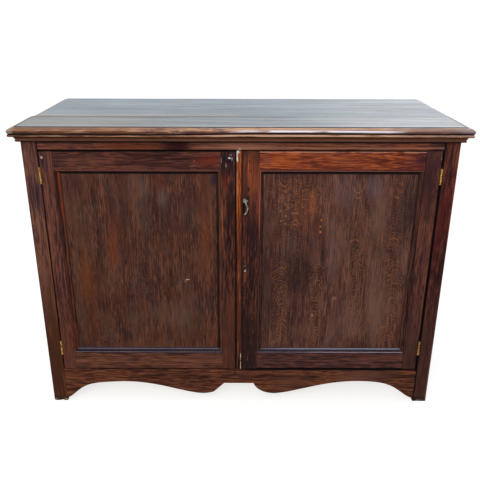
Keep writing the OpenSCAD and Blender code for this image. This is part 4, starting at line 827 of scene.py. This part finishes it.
def finish_bead():
    oak = Wood("meeting_bead_oak", "meeting_bead", "z", "x", 35,
               (82, 30, 14), (140, 62, 24), (188, 98, 38), contrast=1.3)
    x, y, z = oak.x, oak.y, oak.z
    oak.fade("z", 740, 600, (80, 37, 27), 0.9).fade("z", 600, 420, (76, 42, 32), 0.5)
    oak.veins((180, 100, 46), 80, 2.6, 0.58, 0.6).veins((66, 26, 18), 80, 2.6, 0.58, 0.6, 9.0)
    rubbed = x.step(-9.2, -10.6) * oak.streaks(60, 8, 2, 2.0).step(0.38, 0.54)
    oak.stain(rubbed * z.step(680, 820) * 0.7, (164, 122, 92))
    chip = x.step(-7, -8.4) * z.step(855, 862) + z.step(884, 886.5) * x.step(-3, -5)
    oak.stain(chip.least(1.0) * oak.noise(5, 5, 9, 2).step(0.34, 0.5), (214, 206, 190))
    oak.stain(y.step(FRONT + 0.6, FRONT + 1.2) * x.step(-5, -7) * z.step(850, 860), (206, 200, 190))
    split = x.band(-0.6, 2.2, 0.6) * z.step(206, 190)
    oak.stain(split * oak.noise(6, 6, 12, 2).step(0.42, 0.55) * 0.9, (206, 178, 140))
    oak.stain(x.step(0.8, 3.0) * z.step(230, 260) * 0.85, (40, 23, 19))
    oak.stain(x.step(-10.6, -12) * z.step(700, 500) * 0.6, (40, 22, 18))
    # Painted shade on the bead's sides and back
    oak.shade(y.step(FRONT + 1.5, FRONT + 4), 0.85)
    oak.finish().dress("meeting_bead")


# Unseen wood

def pine(name, board, along, across, seed):
    """Bare wood, grey with dust in places."""
    wood = Wood(name, board, along, across, seed, (112, 84, 56), (150, 115, 78), (178, 142, 100),
                contrast=0.8, coat=0.0, grain=PINE_GRAIN)
    wood.veins((124, 86, 52), 700, 7, 0.56, 0.5)
    return wood.stain(wood.noise(260, 260, 260, 3).step(0.4, 0.7) * 0.4, (122, 106, 88))


def finish_inside():
    bare = {"roughness": 0.68, "relief": 0.4}
    pine("pine_rails", "rear_top_rail", "x", "z", 41).finish(**bare).dress(
        "rear_top_rail", "rear_bottom_rail", "glue_blocks")
    for i in range(1, 6):
        board = "back_board_%d" % i
        wood = pine("pine_back_%d" % i, board, "z", "x", 46 + i)
        wood.grime("x", 9, 0.8).finish(**bare).dress(board)
    pine("pine_shelves", "shelf", "x", "y", 43).finish(**bare).dress("bottom_board", "shelf")
    pine("pine_bearers", "shelf_bearers", "y", "z", 44).finish(**bare).dress(
        "bottom_bearers", "shelf_bearers")
    # Painted shade: the door stop, seen through the gaps, darkened all over
    pine("pine_stop", "door_stop", "x", "z", 45).shade(1.0, 0.75).finish(**bare).dress("door_stop")


# Metal

def metal(name, dull, bright, roughness, metallic, crust=None):
    """Old metal, dull and bright in patches, under a pale crust where one is given."""
    surface = Finish(name, metallic=metallic)
    grime = surface.noise(5, 5, 5, 4)
    colour = surface.mix(grime.step(0.4, 0.6), tone(*dull), tone(*bright))
    if crust:
        crusted = surface.noise(3, 3, 4, 3, seed=4.0).step(0.44, 0.6) * 0.9
        colour = surface.mix(crusted, colour, tone(*crust))
    surface.set(base_color=colour, roughness=grime * 0.3 + roughness,
                normal=surface.bump(grime, GRIME_RELIEF, 0.4))
    return surface


def finish_metal():
    metal("aged_brass", (150, 100, 34), (255, 206, 104), roughness=0.2, metallic=0.5).dress(
        "post_hinge_leaves", "post_hinge_screws", "left_door_hinge_leaves", "left_door_hinge_screws",
        "right_door_hinge_leaves", "right_door_hinge_screws", "strike_plate", "bolt_plates",
        "top_bolt", "bottom_bolt", "lock_bolt")
    metal("liner_brass", (96, 84, 60), (190, 186, 170), roughness=0.3, metallic=0.5).dress(
        "keyhole_liner")
    metal("old_iron", (60, 58, 50), (136, 134, 120), roughness=0.35, metallic=0.3,
          crust=(206, 206, 194)).dress("lock_case", "drop_pull")
    metal("plate_iron", (34, 30, 24), (110, 104, 84), roughness=0.35, metallic=0.3,
          crust=(168, 166, 146)).dress("pull_plate")
    metal("pin_steel", (110, 108, 100), (150, 148, 140), roughness=0.3, metallic=0.9).dress(
        "hinge_pins")


def soften_edges(*names):
    """A small worn round on the edges of wooden pieces, after a weld of corners that lie together."""
    for name in names:
        weld = nodes[name].modifiers.new("weld", "WELD")
        weld.merge_threshold = 0.01 * MM
        bevel = nodes[name].modifiers.new("worn_edges", "BEVEL")
        bevel.width = EDGE_WEAR * MM
        bevel.segments = 2
        bevel.limit_method = "ANGLE"
        bevel.angle_limit = math.radians(40)


# Camera, light and floor

def add_camera():
    """Placed by the fit of a pinhole camera to the front's upright and level edges."""
    frame_px = 480
    focal_px = 599.0
    pitch = math.radians(21.64)
    roll = math.radians(0.141)
    eye = Vector((-0.0017, -2.0023, 1.2996))
    data = bpy.data.cameras.new("camera")
    data.sensor_width = 36.0
    data.lens = focal_px / frame_px * data.sensor_width
    data.clip_start = 0.05
    camera = bpy.data.objects.new("camera", data)
    turn = Matrix.Rotation(math.pi / 2 - pitch, 4, "X") @ Matrix.Rotation(roll, 4, "Z")
    camera.matrix_world = Matrix.Translation(eye) @ turn
    bpy.context.scene.collection.objects.link(camera)
    bpy.context.scene.camera = camera


def add_panel_light(name, at, target, size, watts, colour=(1, 1, 1), sheen=False):
    """A soft square light. With sheen it shows only as a reflection, else only in what it lights."""
    data = bpy.data.lights.new(name, "AREA")
    data.shape = "RECTANGLE"
    data.size, data.size_y = size
    data.energy = watts
    data.color = colour
    light = bpy.data.objects.new(name, data)
    look = (Vector(target) - Vector(at)).to_track_quat("-Z", "Y").to_matrix().to_4x4()
    light.matrix_world = Matrix.Translation(at) @ look
    light.visible_camera = False
    light.visible_glossy = sheen
    light.visible_diffuse = not sheen
    bpy.context.scene.collection.objects.link(light)


def add_sky():
    """A pale sky overhead and behind, brightest behind to the right, dim low down on the doors' side.

    The camera itself sees plain white in its place.
    """
    dim, pale = (0.24, 0.23, 0.23, 1), (0.79, 0.86, 0.90, 1)
    overhead, underfoot = (0.72, 0.80, 0.92, 1), (0.14, 0.135, 0.13, 1)
    plain_white = (1.1, 1.1, 1.1, 1)
    world = bpy.data.worlds.new("studio")
    bpy.context.scene.world = world
    world.use_nodes = True
    world.node_tree.nodes.clear()
    sky = Web(world.node_tree)
    x, y, z = sky.apart(sky.add("ShaderNodeTexCoord", {}, {}, "Generated"))
    low = sky.mix(y.step(-0.1, 0.25), dim, pale)
    above = sky.mix(z.step(0.08, 0.5), low, overhead)
    colour = sky.mix(z.step(0.0, -0.05), above, underfoot)
    bright = x.step(-0.1, 0.45) * y.step(0.2, 0.6) * 0.6 + 1.0
    seen = sky.add("ShaderNodeLightPath", {}, {}, "Is Camera Ray")
    colour = sky.mix(seen, sky.scaled(colour, bright), plain_white)
    background = sky.add("ShaderNodeBackground", {}, {"Color": colour, "Strength": 1.0})
    out = sky.tree.nodes.new("ShaderNodeOutputWorld")
    sky.feed(out.inputs["Surface"], background)


def add_floor():
    """A pale floor that reaches far out and glows a little, and is mirrored in nothing."""
    width = 400
    bpy.ops.object.select_all(action="DESELECT")
    bpy.ops.mesh.primitive_plane_add(size=width, location=(0, 0, 0))
    floor = bpy.context.active_object
    floor.name = "floor"
    paint = Finish("pale_floor", roughness=0.9, specular_ior_level=0.0,
                   base_color=(0.42, 0.41, 0.39, 1),
                   emission_color=(1.0, 0.98, 0.96, 1), emission_strength=0.72)
    floor.data.materials.append(paint.material)
    floor.visible_glossy = False
    floor.visible_diffuse = False


bpy.context.scene.view_settings.view_transform = "Standard"
finish_frieze()
finish_apron()
finish_posts()
finish_ends()
finish_top()
finish_bed_moulding()
finish_left_door_rails()
finish_left_door_stiles()
finish_left_panel()
finish_right_door_rails()
finish_right_hinge_stile()
finish_right_meeting_stile()
finish_right_panel()
finish_mouldings()
finish_bead()
finish_inside()
finish_metal()
soften_edges("frieze_rail", "apron", "front_post_left", "front_post_right", "meeting_bead",
             "left_door_hinge_stile", "left_door_meeting_stile",
             "left_door_top_rail", "left_door_bottom_rail",
             "right_door_hinge_stile", "right_door_meeting_stile",
             "right_door_top_rail", "right_door_bottom_rail")
add_camera()
add_sky()
add_floor()
add_panel_light("front_light", at=(-0.9, -3.6, 2.4), target=(0, -0.2, 0.45),
                size=(3.0, 2.2), watts=110)
add_panel_light("sky_sheen", at=(0, -1.2, 3.2), target=(0, -0.3, 0.9),
                size=(4.5, 3.0), watts=52, colour=(0.88, 0.9, 0.98), sheen=True)
add_panel_light("front_sheen", at=(0.85, -4.0, 2.8), target=(0.25, -0.28, 0.95),
                size=(1.6, 3.6), watts=55, colour=(0.95, 0.96, 1.0), sheen=True)
